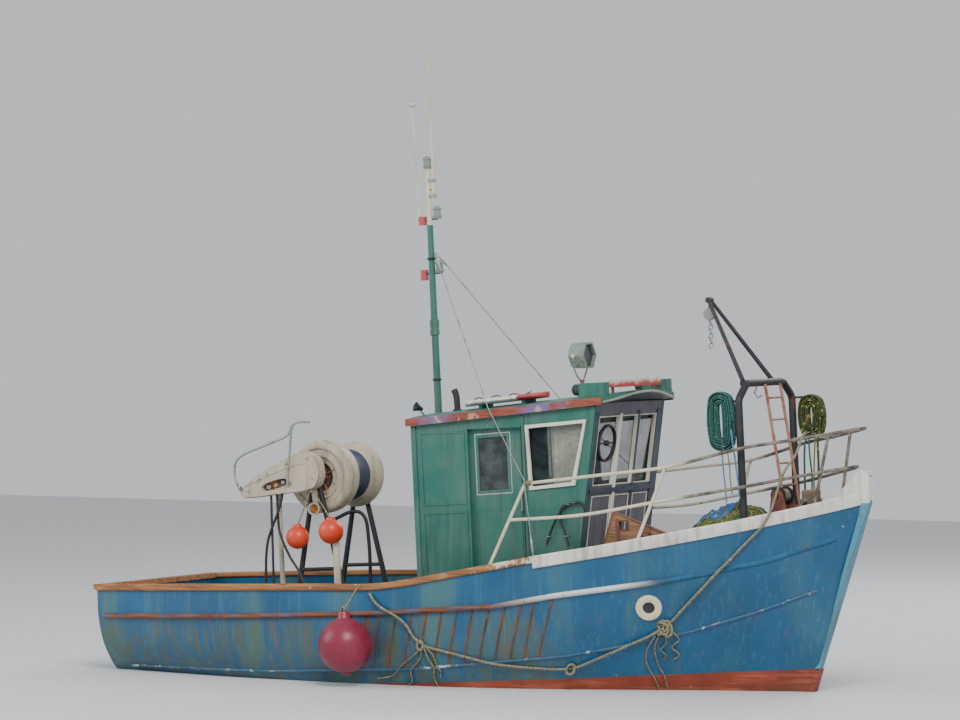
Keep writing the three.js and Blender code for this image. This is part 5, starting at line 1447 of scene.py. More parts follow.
def makeFascia():
    shape = Shape()
    low, high = eavesAt(roof["aft"]) - 0.014, eavesAt(roof["aft"]) + 0.058
    eaves, outside = eavesAt(1.735), roof["half"] + 0.015
    for hand in (-1, 1):
        shape.plate([(-0.53, low), (1.735, eaves - 0.014), (1.735, eaves + 0.058), (-0.53, high)],
            *sorted((hand * (roof["half"] + boat["gap"]), hand * outside)))
    shape.block((roof["aft"] - 0.015, -outside, low), (roof["aft"] - boat["gap"], outside, high))
    made("roofFascia", "hull", "fasciaPaint", shape, ["roof_fascia"], "red_brown", bevel=0.003, angle=25)


# Exhaust stack, its bend given by distance aft, height and radius
exhaust = {"x": -0.225, "y": -0.25,
    "bend": [(0, -0.004, 0.032), (0.001, 0.06, 0.032), (0.004, 0.13, 0.033), (0.014, 0.18, 0.034),
        (0.03, 0.215, 0.034)]}


def makeExhaust():
    x, y, bend = exhaust["x"], exhaust["y"], exhaust["bend"]
    foot = roofTopAt(x, y)
    stack = Shape().tube([(x - aft, y, foot + up) for aft, up, _ in bend], [row[2] for row in bend], 24)
    stack.turned([(0, 0), (0.05, 0), (0.05, 0.012), (0.034, 0.016), (0, 0.016)], (x, y, foot - 0.002),
        sides=28)
    made("exhaust", "hull", "black_steel", stack, ["exhaust_stack"], bevel=0.002)


# Blank board across the fore end of the roof, on two feet
roofBoard = {"x": 1.69, "aft": 1.676, "fore": 1.704, "half": 0.6, "low": 0.068, "top": 0.168,
    "feet": 0.45, "footHalf": 0.02}


def makeRoofBoard():
    board, feet = Shape(), Shape()
    x, half, footHalf = roofBoard["x"], roofBoard["half"], roofBoard["footHalf"]
    base = roofTopAt(x, half)
    board.block((roofBoard["aft"], -half, base + roofBoard["low"]),
        (roofBoard["fore"], half, base + roofBoard["top"]))
    for y in (-roofBoard["feet"], roofBoard["feet"]):
        feet.block((1.68, y - footHalf, roofTopAt(x, y) - 0.004), (1.7, y + footHalf, base + 0.08))
    joinedPiece("blankBoard", "hull", [(board, "boardPaint"), (feet, "red_brown")], ["name_board"],
        "white_paint", bevel=0.003, angle=25)


# Rescue board lying on two chocks, with a grab line: white aft, red forward
rescue = {"x": 0.46, "y": -0.43, "half": 0.48, "wide": 0.19, "thick": 0.031, "redFrom": 0.42}


def makeRescueBoard():
    white, red, chocks = Shape(), Shape(), Shape()
    middle, across, half, thick = rescue["x"], rescue["y"], rescue["half"], rescue["thick"]

    def baseAt(x):
        return roofTopAt(middle, across) + eavesAt(x) - eavesAt(middle)

    for shape, low, high, count in ((white, -1.0, rescue["redFrom"], 18), (red, rescue["redFrom"], 1.0, 9)):
        rings = []
        for share in steps(low, high, count):
            x = middle + share * half
            wide, base = rescue["wide"] * math.sqrt(max(1 - share ** 4, 0.02)), baseAt(x) + 0.03
            rings.append([(x, across + wide * math.copysign(abs(c) ** 0.6, c), base + thick + thick * s)
                for c, s in around(20)])
        shape.loft(rings)
    for x in (middle - 0.25, middle + 0.25):
        foot = roofTopAt(x, across - 0.12) - 0.004
        chocks.block((x - 0.02, across - 0.12, foot), (x + 0.02, across + 0.12, baseAt(x) + 0.034))
    line = []
    for i in range(13):
        x = middle + (-0.75 + 1.4 * i / 12) * half
        line.append((x, across - 0.05, baseAt(x) + 0.094 + 0.014 * math.sin(i * 1.7)))
    grab = Shape().tube(curveThrough(line, 60), 0.006, 8)
    parts = [(white, "whiteTimber"), (red, "redPaint"), (chocks, "house_green"), (grab, "black_steel")]
    joinedPiece("rescueFloat", "hull", parts, ["rescue_board"], "white_paint", angle=40)


floodlight = {"x": 1.33, "y": -0.42, "headX": 1.32, "lift": 0.415, "half": 0.15}


def makeFloodlight():
    x, y, headX, half = floodlight["x"], floodlight["y"], floodlight["headX"], floodlight["half"]
    z = roofTopAt(x, y)
    headZ = z + floodlight["lift"]
    corners = [(y + half * math.cos(math.pi / 3 * k), headZ + half * math.sin(math.pi / 3 * k))
        for k in range(6)]
    small = [(y + (a - y) * 0.86, headZ + (b - headZ) * 0.86) for a, b in corners]
    shell = Shape().plate(corners, headX + 0.06, headX + 0.11, 0, [small])
    shell.loft([[(headX + away, y + (a - y) * size, headZ + (b - headZ) * size) for a, b in corners]
        for away, size in ((-0.09, 0.55), (-0.08, 0.8), (-0.05, 0.97), (0.062, 1.0))])
    glass = Shape().plate(small, headX + 0.07, headX + 0.078, 0)
    side = half + 0.004
    arms = Shape()
    for hand in (-1, 1):
        arms.tube(curveThrough([(headX, y + hand * side, headZ + 0.01),
            (headX, y + hand * side, headZ - 0.1), (headX, y + hand * 0.08, headZ - 0.21),
            (x, y + hand * 0.012, z + 0.15)], 20), 0.008, 10)
        arms.turned(disc(0.022, -0.01, 0.012), (headX, y + hand * side, headZ), (0, hand, 0), 18)
    foot = Shape().turned([(0, -0.004), (0.05, -0.004), (0.05, 0.01), (0.024, 0.02), (0.02, 0.15),
        (0.028, 0.155), (0.026, 0.17), (0, 0.172)], (x, y, z), sides=24)
    joinedPiece("floodLamp", "hull", [(shell, "lampGrey"), (glass, "lampGlass"), (arms, "rail_beige"),
        (foot, "redPaint")], ["floodlight"], "galvanised", bevel=0.003, angle=30)


helm = {"hub": (1.085, -0.33, 1.84), "radius": 0.21, "thick": 0.0135, "spokes": 6}


def makeHelm():
    wheel = Shape()
    hub = Vector(helm["hub"])
    rim = [(hub.x, hub.y + helm["radius"] * c, hub.z + helm["radius"] * s) for c, s in around(48)]
    wheel.tube(rim, helm["thick"], 12, closed=True)
    for place in range(helm["spokes"]):
        angle = 2 * math.pi * place / helm["spokes"]
        out = Vector((0, math.cos(angle), math.sin(angle)))
        wheel.tube([hub + out * reach for reach in (0.02, 0.1, 0.2, 0.225, 0.245, 0.254)],
            [0.012, 0.009, 0.011, 0.009, 0.012, 0.007], 12)
    wheel.turned([(0, -0.03), (0.028, -0.03), (0.04, -0.018), (0.04, 0.02), (0.02, 0.03), (0.0135, 0.03),
        (0.0135, 0.11), (0, 0.11)], hub, (1, 0, 0), 28)
    made("helmWheel", "helm_wheel", "black_steel", wheel, ["steering_wheel"])


# A curtain drawn over the fore part of the starboard side window, on its rail
curtain = {"y": -0.685, "top": 2.6, "low": 1.93, "aft": 1.085, "fore": 1.5, "across": 60, "down": 24,
    "fold": 0.012}


def makeCurtain():
    y, top, low = curtain["y"], curtain["top"], curtain["low"]
    rail = Shape().bar((0.84, y, top + 0.012), (1.52, y, top + 0.052), 0.006, sides=12)
    made("curtainRail", "hull", "galvanised", rail)
    across, down = curtain["across"], curtain["down"]
    points = []
    for j in range(down + 1):
        share = j / down
        for i in range(across + 1):
            s = i / across
            x = curtain["aft"] + (curtain["fore"] - curtain["aft"]) * s - share * 0.11 * s
            fold = curtain["fold"] * math.sin(s * 38 + share * 1.2) * (0.55 + 0.45 * share)
            points.append((x, y + fold, top + 0.01 + 0.059 * (x - 0.84) * (1 - share) + (low - top) * share))
    piece = clothPiece("curtain", points, across, "curtainCloth", 0.0012)


makeHouseSides()
makeHouseFront()
makeHouseBack()
makeDoor()
makeRoof()
makeFascia()
makeExhaust()
makeRoofBoard()
makeRescueBoard()
makeFloodlight()
makeHelm()
makeCurtain()
print("wheelhouse made")

# Mast, aerials and stays
mast = {"x": -0.59, "lamps": ((0.09, 4.2), (0, 5.28), (0.092, 4.76)), "bands": (1.2, 2.45, 3.1, 4.35)}


def makeMast():
    green, pale, lamps = Shape(), Shape(), Shape()
    x = mast["x"]
    green.turned([(0, 0.678), (0.085, 0.678), (0.085, 0.7), (0.06, 0.716), (0.045, 0.76), (0.0405, 2.0),
        (0.038, 2.9), (0.0365, 3.555), (0.048, 3.56), (0.05, 3.6), (0.044, 3.63), (0.05, 3.66),
        (0.048, 3.72), (0.0355, 3.725), (0.031, 4.7)], (x, 0, 0), sides=32)
    pale.turned([(0.031, 4.68), (0.029, 5.1), (0.028, 5.26), (0.034, 5.265), (0.034, 5.29), (0, 5.29)],
        (x, 0, 0), sides=32)
    for aft, fore, z in ((0, 0.09, 4.2), (0, -0.09, 4.2), (-0.13, 0.092, 4.76)):
        green.tube([(x + aft, 0, z), (x + fore, 0, z)], 0.012, 10)
    for away, z in ((0.06, 2.2), (-0.05, 1.5)):
        green.tube([(x + away * 0.7, 0, z - 0.07), (x + away, 0, z - 0.05), (x + away, 0, z + 0.05),
            (x + away * 0.7, 0, z + 0.07)], 0.007, 8)
    for away, z in mast["lamps"]:
        lamps.turned([(0, 0), (0.036, 0), (0.04, 0.012), (0.044, 0.016), (0.046, 0.03), (0.038, 0.034),
            (0.038, 0.092), (0.046, 0.096), (0.046, 0.108), (0.03, 0.124), (0.012, 0.132), (0, 0.132)],
            (x + away, 0, z), sides=28)
    box = Shape().block((x - 0.11, -0.035, 4.70), (x - 0.05, 0.035, 4.79))
    box.block((x - 0.12, -0.03, 4.13), (x - 0.062, 0.03, 4.24))
    bands = Shape()
    for z in mast["bands"]:
        bands.turned([(0.036, z - 0.012), (0.047, z - 0.01), (0.047, z + 0.01), (0.036, z + 0.012)],
            (x, 0, 0), sides=28)
    joinedPiece("mastWhole", "hull", [(green, "house_green"), (pale, "rail_beige"), (lamps, "lampGrey"),
        (box, "redPaint"), (bands, "black_steel")], ["mast"], "house_green", bevel=0.0, angle=40)


aerial = {"foot": (-0.53, 0, 4.96), "tip": (-0.515, 0, 6.7), "clamps": (5.0, 5.16)}


def makeAerials():
    pole, clamps, whip = Shape(), Shape(), Shape()
    start, end = Vector(aerial["foot"]), Vector(aerial["tip"])
    pole.tube([start.lerp(end, s) for s in (0, 0.3, 0.6, 0.62, 0.9, 1)],
        [0.017, 0.0155, 0.014, 0.0132, 0.0125, 0.009], 16)
    for z in aerial["clamps"]:
        clamps.block((-0.6, -0.026, z - 0.016), (-0.508, 0.026, z + 0.016))
        clamps.tube([(-0.57, 0.03, z), (-0.57, -0.034, z)], 0.006, 8)
    joinedPiece("aerialPole", "hull", [(pole, "rail_beige"), (clamps, "galvanised")], ["aerial_pole"],
        "white_paint", angle=40)
    whip.tube([(-0.71, 0, 4.77), (-0.712, 0, 4.86), (-0.714, 0, 4.9), (-0.727, 0, 5.5), (-0.74, 0, 5.93)],
        [0.011, 0.011, 0.0075, 0.0065, 0.006], 12)
    whip.turned([(0, -0.02), (0.02, -0.018), (0.046, -0.008), (0.052, 0.004), (0.046, 0.018), (0.02, 0.026),
        (0, 0.028)], (-0.74, 0, 5.95), sides=28)
    made("whipAerial", "hull", "rail_beige", whip, ["whip_aerial"])


def makeStays():
    for hand, name in ((-1, "shroud_starboard"), (1, "shroud_port")):
        run = [(-0.546, hand * 0.012, 4.42), (0.44, hand * 0.812, 2.8), (1.04, hand * 1.215, 2.062),
            (1.13, hand * 1.262, sheerAt(1.13) + 0.045)]
        wire = [*curveThrough(run[:2], 8)[:-1], *curveThrough(run[1:3], 8)[:-1], *curveThrough(run[2:], 5)]
        ropePiece(name + "Wire", "hull", [wire], 0.006, "galvanised", [name])
        ends = Shape()
        for foot, toward in ((run[3], run[2]), (run[0], run[1])):
            foot = Vector(foot)
            along = (Vector(toward) - foot).normalized()
            ends.tube([foot + along * away for away in (0, 0.05, 0.06, 0.17, 0.18, 0.23)],
                [0.007, 0.007, 0.012, 0.012, 0.007, 0.007], 12)
        made(name + "Ends", "hull", "galvanised", ends)


floatPlaces = [("floatAft", (-1.851, -0.842, 1.54), 0.12), ("floatFore", (-1.449, -0.842, 1.592), 0.13)]


def makeFloats():
    lines = []
    for name, (x, y, z), radius in floatPlaces:
        shell = Shape().ball((x, y, z), radius, 40, 26)
        shell.turned([(0.02, -0.02), (0.05, -0.012), (0.045, 0.012), (0.02, 0.02), (0, 0.02), (0, -0.02)],
            (x, y, z + radius), sides=24)
        made(name, "hull", "float_orange", shell, ["floats"] if name == "floatAft" else (), "float_orange")
        top, knot = (x, y, z + radius - 0.005), (-1.69, -0.8, 2.045)
        sag = tuple(a * 0.5 + b * 0.5 + c for a, b, c in zip(top, knot, (0.01, -0.008, 0.0)))
        lines.append(curveThrough([top, sag, knot], 14))
    lines += loopsAt((-1.69, -0.81, 2.03), [(0.02, 0.03, 0.3, 0.012), (0.024, 0.018, 1.3, 0.014),
        (0.016, 0.034, 2.2, 0.01)])
    ropePiece("floatLines", "hull", lines, 0.008, "old_rope")


fender = {"place": (-0.824, -1.735, 0.463), "radius": 0.275}


def makeFender():
    (x, y, z), radius = fender["place"], fender["radius"]
    shell = Shape()
    profile = [(radius * math.sin(a), -radius * math.cos(a)) for a in steps(0, math.pi * 0.87, 30)]
    shell.turned([*profile, (0.085, 0.262), (0.062, 0.285), (0.06, 0.33), (0.05, 0.345), (0, 0.345)],
        (x, y, z), sides=56)
    shell.turned([(0.0, -0.3), (0.03, -0.298), (0.045, -0.285), (0.05, -0.265)], (x, y, z), sides=24)
    eye = Shape().turned(disc(0.02, -0.02, 0.02), (x, y, z + 0.345), (0, 1, 0), 20)
    joinedPiece("ballFender", "hull", [(shell, "fender_red"), (eye, "black_steel")], ["fender"],
        "fender_red", angle=50)
    top, low = (x, -(breadthAt(x, sheerAt(x)) + 0.02), sheerAt(x) + 0.03), (x, y, z + 0.35)
    middle = (x + 0.004, (y + top[1]) / 2 - 0.012, (low[2] + top[2]) / 2)
    knots = loopsAt((x, y, z + 0.365), [(0.024, 0.03, 0.3, 0.02), (0.028, 0.02, 1.3, 0.024),
        (0.02, 0.034, 2.2, 0.018)])
    ropePiece("fenderLanyard", "hull", [curveThrough([low, middle, top], 20), *knots], 0.009, "old_rope")


# Net drum with its stand and drive
drumAxis = (-1.7, 0, 2.15)
drumPosts = (-0.672, 0.222)
drumParts = [
    ("hubRust", [(0, -0.695), (0.04, -0.695), (0.04, -0.64), (0.068, -0.634), (0.072, -0.59),
        (0.078, -0.548), (0.14, -0.546), (0.15, -0.56)]),
    ("gear_cream", [(0.15, -0.56), (0.158, -0.594), (0.205, -0.596), (0.212, -0.612), (0.232, -0.614),
        (0.24, -0.596), (0.285, -0.594), (0.296, -0.61), (0.318, -0.613), (0.345, -0.604), (0.364, -0.585),
        (0.375, -0.55), (0.38, -0.5), (0.374, -0.44), (0.36, -0.392), (0.34, -0.38)]),
    # navy paint on the barrel core, carried onto the inner faces of both bells as painted shade: the shadow
    # the near bell casts into the far bell
    ("navy_paint", [(0.34, -0.38), (0.235, -0.34), (0.225, -0.32), (0.225, -0.13), (0.23, -0.09),
        (0.245, -0.045), (0.266, -0.005)]),
    ("gear_cream", [(0.266, -0.005), (0.29, 0.04), (0.315, 0.09), (0.333, 0.135), (0.341, 0.15),
        (0.336, 0.156), (0.32, 0.15), (0.298, 0.105), (0.262, 0.05), (0.18, 0.01), (0.075, 0.0)]),
    ("hubRust", [(0.075, 0.0), (0.075, 0.152), (0.04, 0.156), (0.04, 0.245), (0, 0.245)]),
]


def makeDrum():
    parts = []
    for look, profile in drumParts:
        parts.append((Shape().turned(profile, drumAxis, (0, 1, 0), 72, capped=False), look))
    bolts = Shape()
    for k in range(8):
        angle = 2 * math.pi * (k + 0.5) / 8
        place = (drumAxis[0] + 0.182 * math.cos(angle), -0.596, drumAxis[2] + 0.182 * math.sin(angle))
        bolts.turned([(0, -0.012), (0.009, -0.012), (0.011, 0.0), (0.011, 0.006)], place, (0, 1, 0), 6)
    ribs = Shape()
    for k in range(4):
        angle = math.pi / 2 * k + 0.4
        along = Vector((math.cos(angle), 0, math.sin(angle)))
        centre = Vector((drumAxis[0], -0.566, drumAxis[2]))
        ribs.bar(centre + along * 0.06, centre + along * 0.15, 0.014, 0.011, sides=10)
    joinedPiece("netDrum", "drum", [*parts, (bolts, "galvanised"), (ribs, "hubRust")], ["net_drum"],
        "gear_cream", angle=28)


def makeStand():
    frame = Shape()
    x, _, z = drumAxis
    for y in drumPosts:
        for away in (-0.33, 0.33):
            frame.bar((x + away, y, 0.682), (x + away * 0.1, y, 2.09), 0.03, 0.026)
            frame.turned([(0, 0), (0.055, 0), (0.055, 0.012), (0.03, 0.016), (0, 0.016)],
                (x + away, y, 0.681), sides=20)
        frame.bar((x - 0.24, y, 1.2), (x + 0.24, y, 1.2), 0.02)
        frame.turned([(0.043, -0.02), (0.07, -0.022), (0.088, -0.016), (0.088, 0.016), (0.07, 0.022),
            (0.043, 0.02), (0.043, -0.02)], (x, y, z), (0, 1, 0), 36, capped=False)
        frame.block((x - 0.05, y - 0.03, 2.03), (x + 0.05, y + 0.03, 2.1))
    for away in (-0.38, 0.38):
        frame.bar((x + away, drumPosts[0], 0.705), (x + away, drumPosts[1], 0.705), 0.022)
    made("drumStand", "hull", "black_steel", frame, ["drum_stand"], bevel=0.002, angle=30)
    post, knob, place = Shape(), Shape(), (-1.436, -0.775, 0)
    post.turned([(0, 0.682), (0.06, 0.682), (0.06, 0.7), (0.042, 0.71), (0.036, 1.1), (0.035, 1.55)], place,
        sides=24)
    knob.turned([(0.034, 1.52), (0.05, 1.53), (0.056, 1.57), (0.05, 1.6), (0.04, 1.615), (0.046, 1.65),
        (0.036, 1.675), (0, 1.68)], place, sides=24)
    joinedPiece("deckPost", "hull", [(post, "rail_beige"), (knob, "hubRust")], angle=40)


caseOutline = [(-1.56, 2.2), (-1.59, 2.33), (-1.72, 2.42), (-1.9, 2.38), (-2.3, 2.2), (-2.52, 2.04),
    (-2.53, 1.99), (-2.48, 1.965), (-2.05, 1.99), (-1.72, 2.02), (-1.61, 2.06)]
caseSlot = [(-2.26, 2.06), (-2.23, 2.03), (-1.98, 2.08), (-1.95, 2.12), (-1.98, 2.15), (-2.23, 2.095)]


def roundedOutline(outline, count):
    curve = curveThrough([(a, 0, b) for a, b in [*outline, *outline[:2]]], count)
    kept = curve[:int(len(curve) * len(outline) / (len(outline) + 1))]
    return [(point[0], point[2]) for point in kept]


def makeDriveCase():
    shell, groove, dark, bits = Shape(), Shape(), Shape(), Shape()
    outline = roundedOutline(caseOutline, 66)
    middle = (-2.02, 2.15)
    small = [(middle[0] + (a - middle[0]) * 0.965, middle[1] + (b - middle[1]) * 0.93) for a, b in outline]
    slot = roundedOutline(caseSlot, 30)
    shell.plate(small, -0.84, -0.8, 1, [slot])
    shell.plate(outline, -0.8, -0.71, 1, [slot])
    groove.tube([(x, -0.841, 2.075 + (x + 2.5) * 0.34 - max(0, x + 2.0) ** 2 * 0.5)
        for x in steps(-2.46, -1.72, 20)], 0.007, 8)
    dark.plate(slot, -0.775, -0.72)
    for x, z, r in ((-2.2, 2.068, 0.028), (-2.11, 2.085, 0.024), (-2.02, 2.112, 0.026)):
        bits.turned([(0, -0.02), (r * 0.7, -0.02), (r, -0.008), (r, 0.02), (0, 0.02)], (x, -0.79, z),
            (0, 1, 0), 16)
    for x, z in ((-2.42, 2.03), (-2.3, 2.13), (-1.95, 2.3), (-1.7, 2.35), (-1.65, 2.14)):
        bits.turned([(0, -0.012), (0.012, -0.012), (0.014, 0), (0, 0)], (x, -0.84, z), (0, 1, 0), 6)
    x, y, deck = -2.15, -0.68, 0.681
    foot = Shape().bar((x, y, deck), (x, y, 2.11), 0.026)
    foot.turned([(0, 0), (0.06, 0), (0.06, 0.012), (0.026, 0.018), (0, 0.018)], (x, y, deck), sides=24)
    foot.bar((x, y, 2.05), (-2.12, -0.72, 2.1), 0.024)
    spout, mouth = Shape(), Shape()
    centre, away = Vector((-1.7, -0.72, 1.82)), Vector((0.25, -1, 0.12)).normalized()
    spout.turned([(0.03, -0.05), (0.05, -0.05), (0.058, -0.01), (0.064, 0.035), (0.064, 0.055),
        (0.052, 0.058), (0.046, 0.03), (0.03, -0.04), (0.03, -0.05)], centre, away, 28, capped=False)
    mouth.turned([(0, 0.02), (0.048, 0.022), (0.046, 0.0), (0, 0.0)], centre, away, 24)
    spout.bar((-1.7, -0.7, 1.86), (-1.69, -0.74, 2.06), 0.028, 0.034)
    joinedPiece("driveCase", "hull", [(shell, "gear_cream"), (groove, "black_steel"), (dark, "hubRust"),
        (bits, "galvanised"), (foot, "gear_cream"), (spout, "gear_cream"), (mouth, "hubRust")],
        ["drive_case"], "gear_cream", bevel=0.004, angle=30)


# Bent tube over the drive case, with a strut
caseFrame = {"y": -0.875, "pipe": 0.013, "feet": ((-2.51, 2.06), (-1.925, 2.1)),
    "run": [(-2.51, 2.06), (-2.555, 2.2), (-2.535, 2.34), (-2.47, 2.4), (-2.15, 2.51), (-1.9, 2.6),
        (-1.84, 2.69), (-1.78, 2.725), (-1.63, 2.725)]}


def makeCaseFrame():
    y, pipe = caseFrame["y"], caseFrame["pipe"]
    frame = Shape().tube(curveThrough([(x, y, z) for x, z in caseFrame["run"]], 70), pipe, 14)
    frame.bar((-1.845, y, 2.69), (-1.925, y, 2.1), pipe)
    for x, z in caseFrame["feet"]:
        frame.bar((x, y, z), (x, -0.838, z), pipe)
        frame.turned(disc(0.026, 0, 0.008), (x, -0.841, z), (0, -1, 0), 18)
    frame.turned([(0, 0), (0.02, 0), (0.02, 0.035), (0.013, 0.04), (0, 0.04)], (-1.845, y, 2.665), (0, 0, 1),
        16)
    made("caseFrame", "hull", "galvanised", frame, ["case_frame"], angle=40)


hoses = [
    ("hoseAft", 0.013, [(-2.18, -0.79, 2.04), (-2.178, -0.79, 1.95), (-2.176, -0.8, 1.807),
        (-2.18, -0.8, 1.538), (-2.172, -0.82, 1.311), (-2.18, -0.82, 0.95), (-2.2, -0.8, 0.7)]),
    ("hoseMiddle", 0.013, [(-2.108, -0.79, 2.05), (-2.108, -0.79, 1.95), (-2.106, -0.79, 1.764),
        (-2.089, -0.8, 1.598), (-1.965, -0.84, 1.357), (-1.8, -0.9, 1.15), (-1.74, -0.92, 0.9),
        (-1.72, -0.9, 0.7)]),
    ("hoseFore", 0.014, [(-2.03, -0.79, 2.07), (-2.045, -0.8, 1.95), (-2.09, -0.82, 1.8),
        (-2.22, -0.83, 1.5), (-2.27, -0.82, 1.05), (-2.28, -0.8, 0.7)]),
    ("hoseInner", 0.019, [(-1.585, -0.645, 1.69), (-1.55, -0.52, 1.72), (-1.48, -0.38, 1.77),
        (-1.41, -0.31, 1.765), (-1.35, -0.3, 1.7), (-1.321, -0.3, 1.49), (-1.32, -0.3, 1.1),
        (-1.35, -0.3, 0.71)]),
]


def makeHoses():
    for name, radius, run in hoses:
        path = [Vector(point) for point in curveThrough(run, 50)]
        ends = Shape()
        for end, other in ((path[0], path[1]), (path[-1], path[-2])):
            along = (other - end).normalized()
            ends.turned([(0, -0.002), (radius * 1.5, -0.002), (radius * 1.5, 0.02), (radius * 1.25, 0.024),
                (radius * 1.25, 0.05), (radius * 1.05, 0.054)], end, along, 12)
        collars = made(name + "Collars", "hull", "galvanised", ends)
        piece = made(name, "hull", "black_steel", Shape().tube(path, radius, 16))


hatch = {"aft": -3.35, "fore": -2.65, "half": 0.35, "wall": 0.04, "high": 0.16, "lidHalf": 0.375,
    "boards": 7}


def makeHatch():
    coaming, lid = Shape(), Shape()
    deck, aft, fore, half, wall = house["deck"], hatch["aft"], hatch["fore"], hatch["half"], hatch["wall"]
    inner = oblong(aft + wall, -half + wall, fore - wall, half - wall)
    coaming.plate(oblong(aft, -half, fore, half), deck, deck + hatch["high"], 2, [inner])
    for y in (-0.24, 0.24):
        coaming.bar((-2.624, y - 0.05, 0.86), (-2.624, y + 0.05, 0.86), 0.009, sides=12)
        coaming.block((fore, y - 0.05, 0.8), (-2.62, y + 0.05, 0.856))
    made("hatchCoaming", "hull", "battenRust", coaming, ["hatch_coaming"], "bare_wood", bevel=0.004)
    top, edge = deck + hatch["high"] + boat["gap"], hatch["lidHalf"]
    board = 2 * edge / hatch["boards"]
    for k in range(hatch["boards"]):
        y = -edge + board * k
        lid.block((-3.375, y + 0.002, top), (-2.658, y + board - 0.002, top + 0.034))
    for x in (-3.2, -2.82):
        lid.block((x - 0.04, -edge, top + 0.03), (x + 0.04, edge, top + 0.042))
    lid.tube([(-3.26, -0.06, top + 0.038), (-3.28, -0.06, top + 0.06), (-3.28, 0.06, top + 0.06),
        (-3.26, 0.06, top + 0.038)], 0.007, 8)
    made("hatchLid", "hatch_cover", "bare_wood", lid, ["hatch_lid"], bevel=0.003)


makeMast()
makeAerials()
makeStays()
makeFloats()
makeFender()
makeDrum()
makeStand()
makeDriveCase()
makeCaseFrame()
makeHoses()
makeHatch()
print("stern gear made")

# Guard rails
stanchions = [(0.64, 1.318, 1.031, 1.18, 2.022), (2.21, 1.084, 2.508, 0.957, 2.136),
    (3.82, 0.33, 3.985, 0.25, 2.39)]
topRail = [(1.031, 1.18, 2.022), (1.9, 1.105, 2.085), (2.508, 0.957, 2.134), (3.27, 0.705, 2.295),
    (3.7, 0.46, 2.35), (3.985, 0.25, 2.39), (4.18, 0.12, 2.42), (4.27, 0.0003, 2.434)]
lowRail = [(0.85, 1.23, 1.662), (1.65, 1.15, 1.69), (2.36, 1.004, 1.785), (3.2, 0.74, 1.899),
    (3.72, 0.45, 1.985), (4.05, 0.19, 2.035), (4.17, 0.0003, 2.055)]


guardRail = {"pipe": 0.017, "ball": 0.0185, "inboard": 0.02, "lashing": 0.005}


def makeGuardRails():
    pipe, inboard = guardRail["pipe"], guardRail["inboard"]
    for hand, side in ((-1, "starboard"), (1, "port")):
        rail, joints, wraps = Shape(), Shape(), []
        for run in (topRail, lowRail):
            path = curveThrough([(x, hand * y, z) for x, y, z in run], 80)
            rail.tube(path, pipe, 16)
        for x, half, topX, topHalf, topZ in stanchions:
            foot, top = (x, hand * (half - inboard), sheerAt(x) + 0.034), (topX, hand * topHalf, topZ)
            rail.bar(foot, top, pipe)
            joints.turned([(0, -0.004), (0.038, -0.004), (0.038, 0.007), (0.02, 0.012), (0, 0.012)],
                (x, hand * (half - inboard), sheerAt(x) + 0.036), sides=24)
            rail.ball(top, guardRail["ball"], 20, 12)
        for place in (2, 4):
            x, y, z = topRail[place]
            wraps.extend(loopsAt((x, hand * y, z), [(0.006, 0.022, 0.1 + 0.2 * k, 0.02) for k in range(3)]))
        x, y, z = topRail[0]
        for k in range(7):
            turn = [(x + 0.012 * k + 0.004 * math.sin(a), hand * (y + 0.0235 * math.cos(a)),
                z + 0.0235 * math.sin(a) + 0.001 * k) for a in steps(0, 2 * math.pi * 20 / 21, 20)]
            wraps.append([*turn, turn[0]])
        joinedPiece("guardRail-" + side, "hull", [(rail, "guardPaint"), (joints, "rail_beige")],
            ["guard_rail_" + side], "rail_beige", angle=50)
        ropePiece("railLashings-" + side, "hull", wraps, guardRail["lashing"], "old_rope")


def chainLinks(shape, path, length, wire=0.0065):
    # oval links along a path, each turned a quarter from the last
    for place, (low, high) in enumerate(zip(path, path[1:])):
        middle, along = (Vector(low) + Vector(high)) / 2, (Vector(high) - Vector(low)).normalized()
        side, up = frameFrom(along)
        wide = side if place % 2 else up
        ring = [middle + along * (length / 2 * s) + wide * (length * 0.36 * c) for c, s in around(20)]
        shape.tube(ring, wire, 8, closed=True)


# Bow gantry with its derrick
gantry = {"x": 3.18, "half": 0.605, "pipe": 0.038, "top": 2.93}
derrick = {"hinge": 3.11, "foot": 0.33, "headX": 2.602, "headZ": 3.783, "pipe": 0.024, "tip": 0.019}


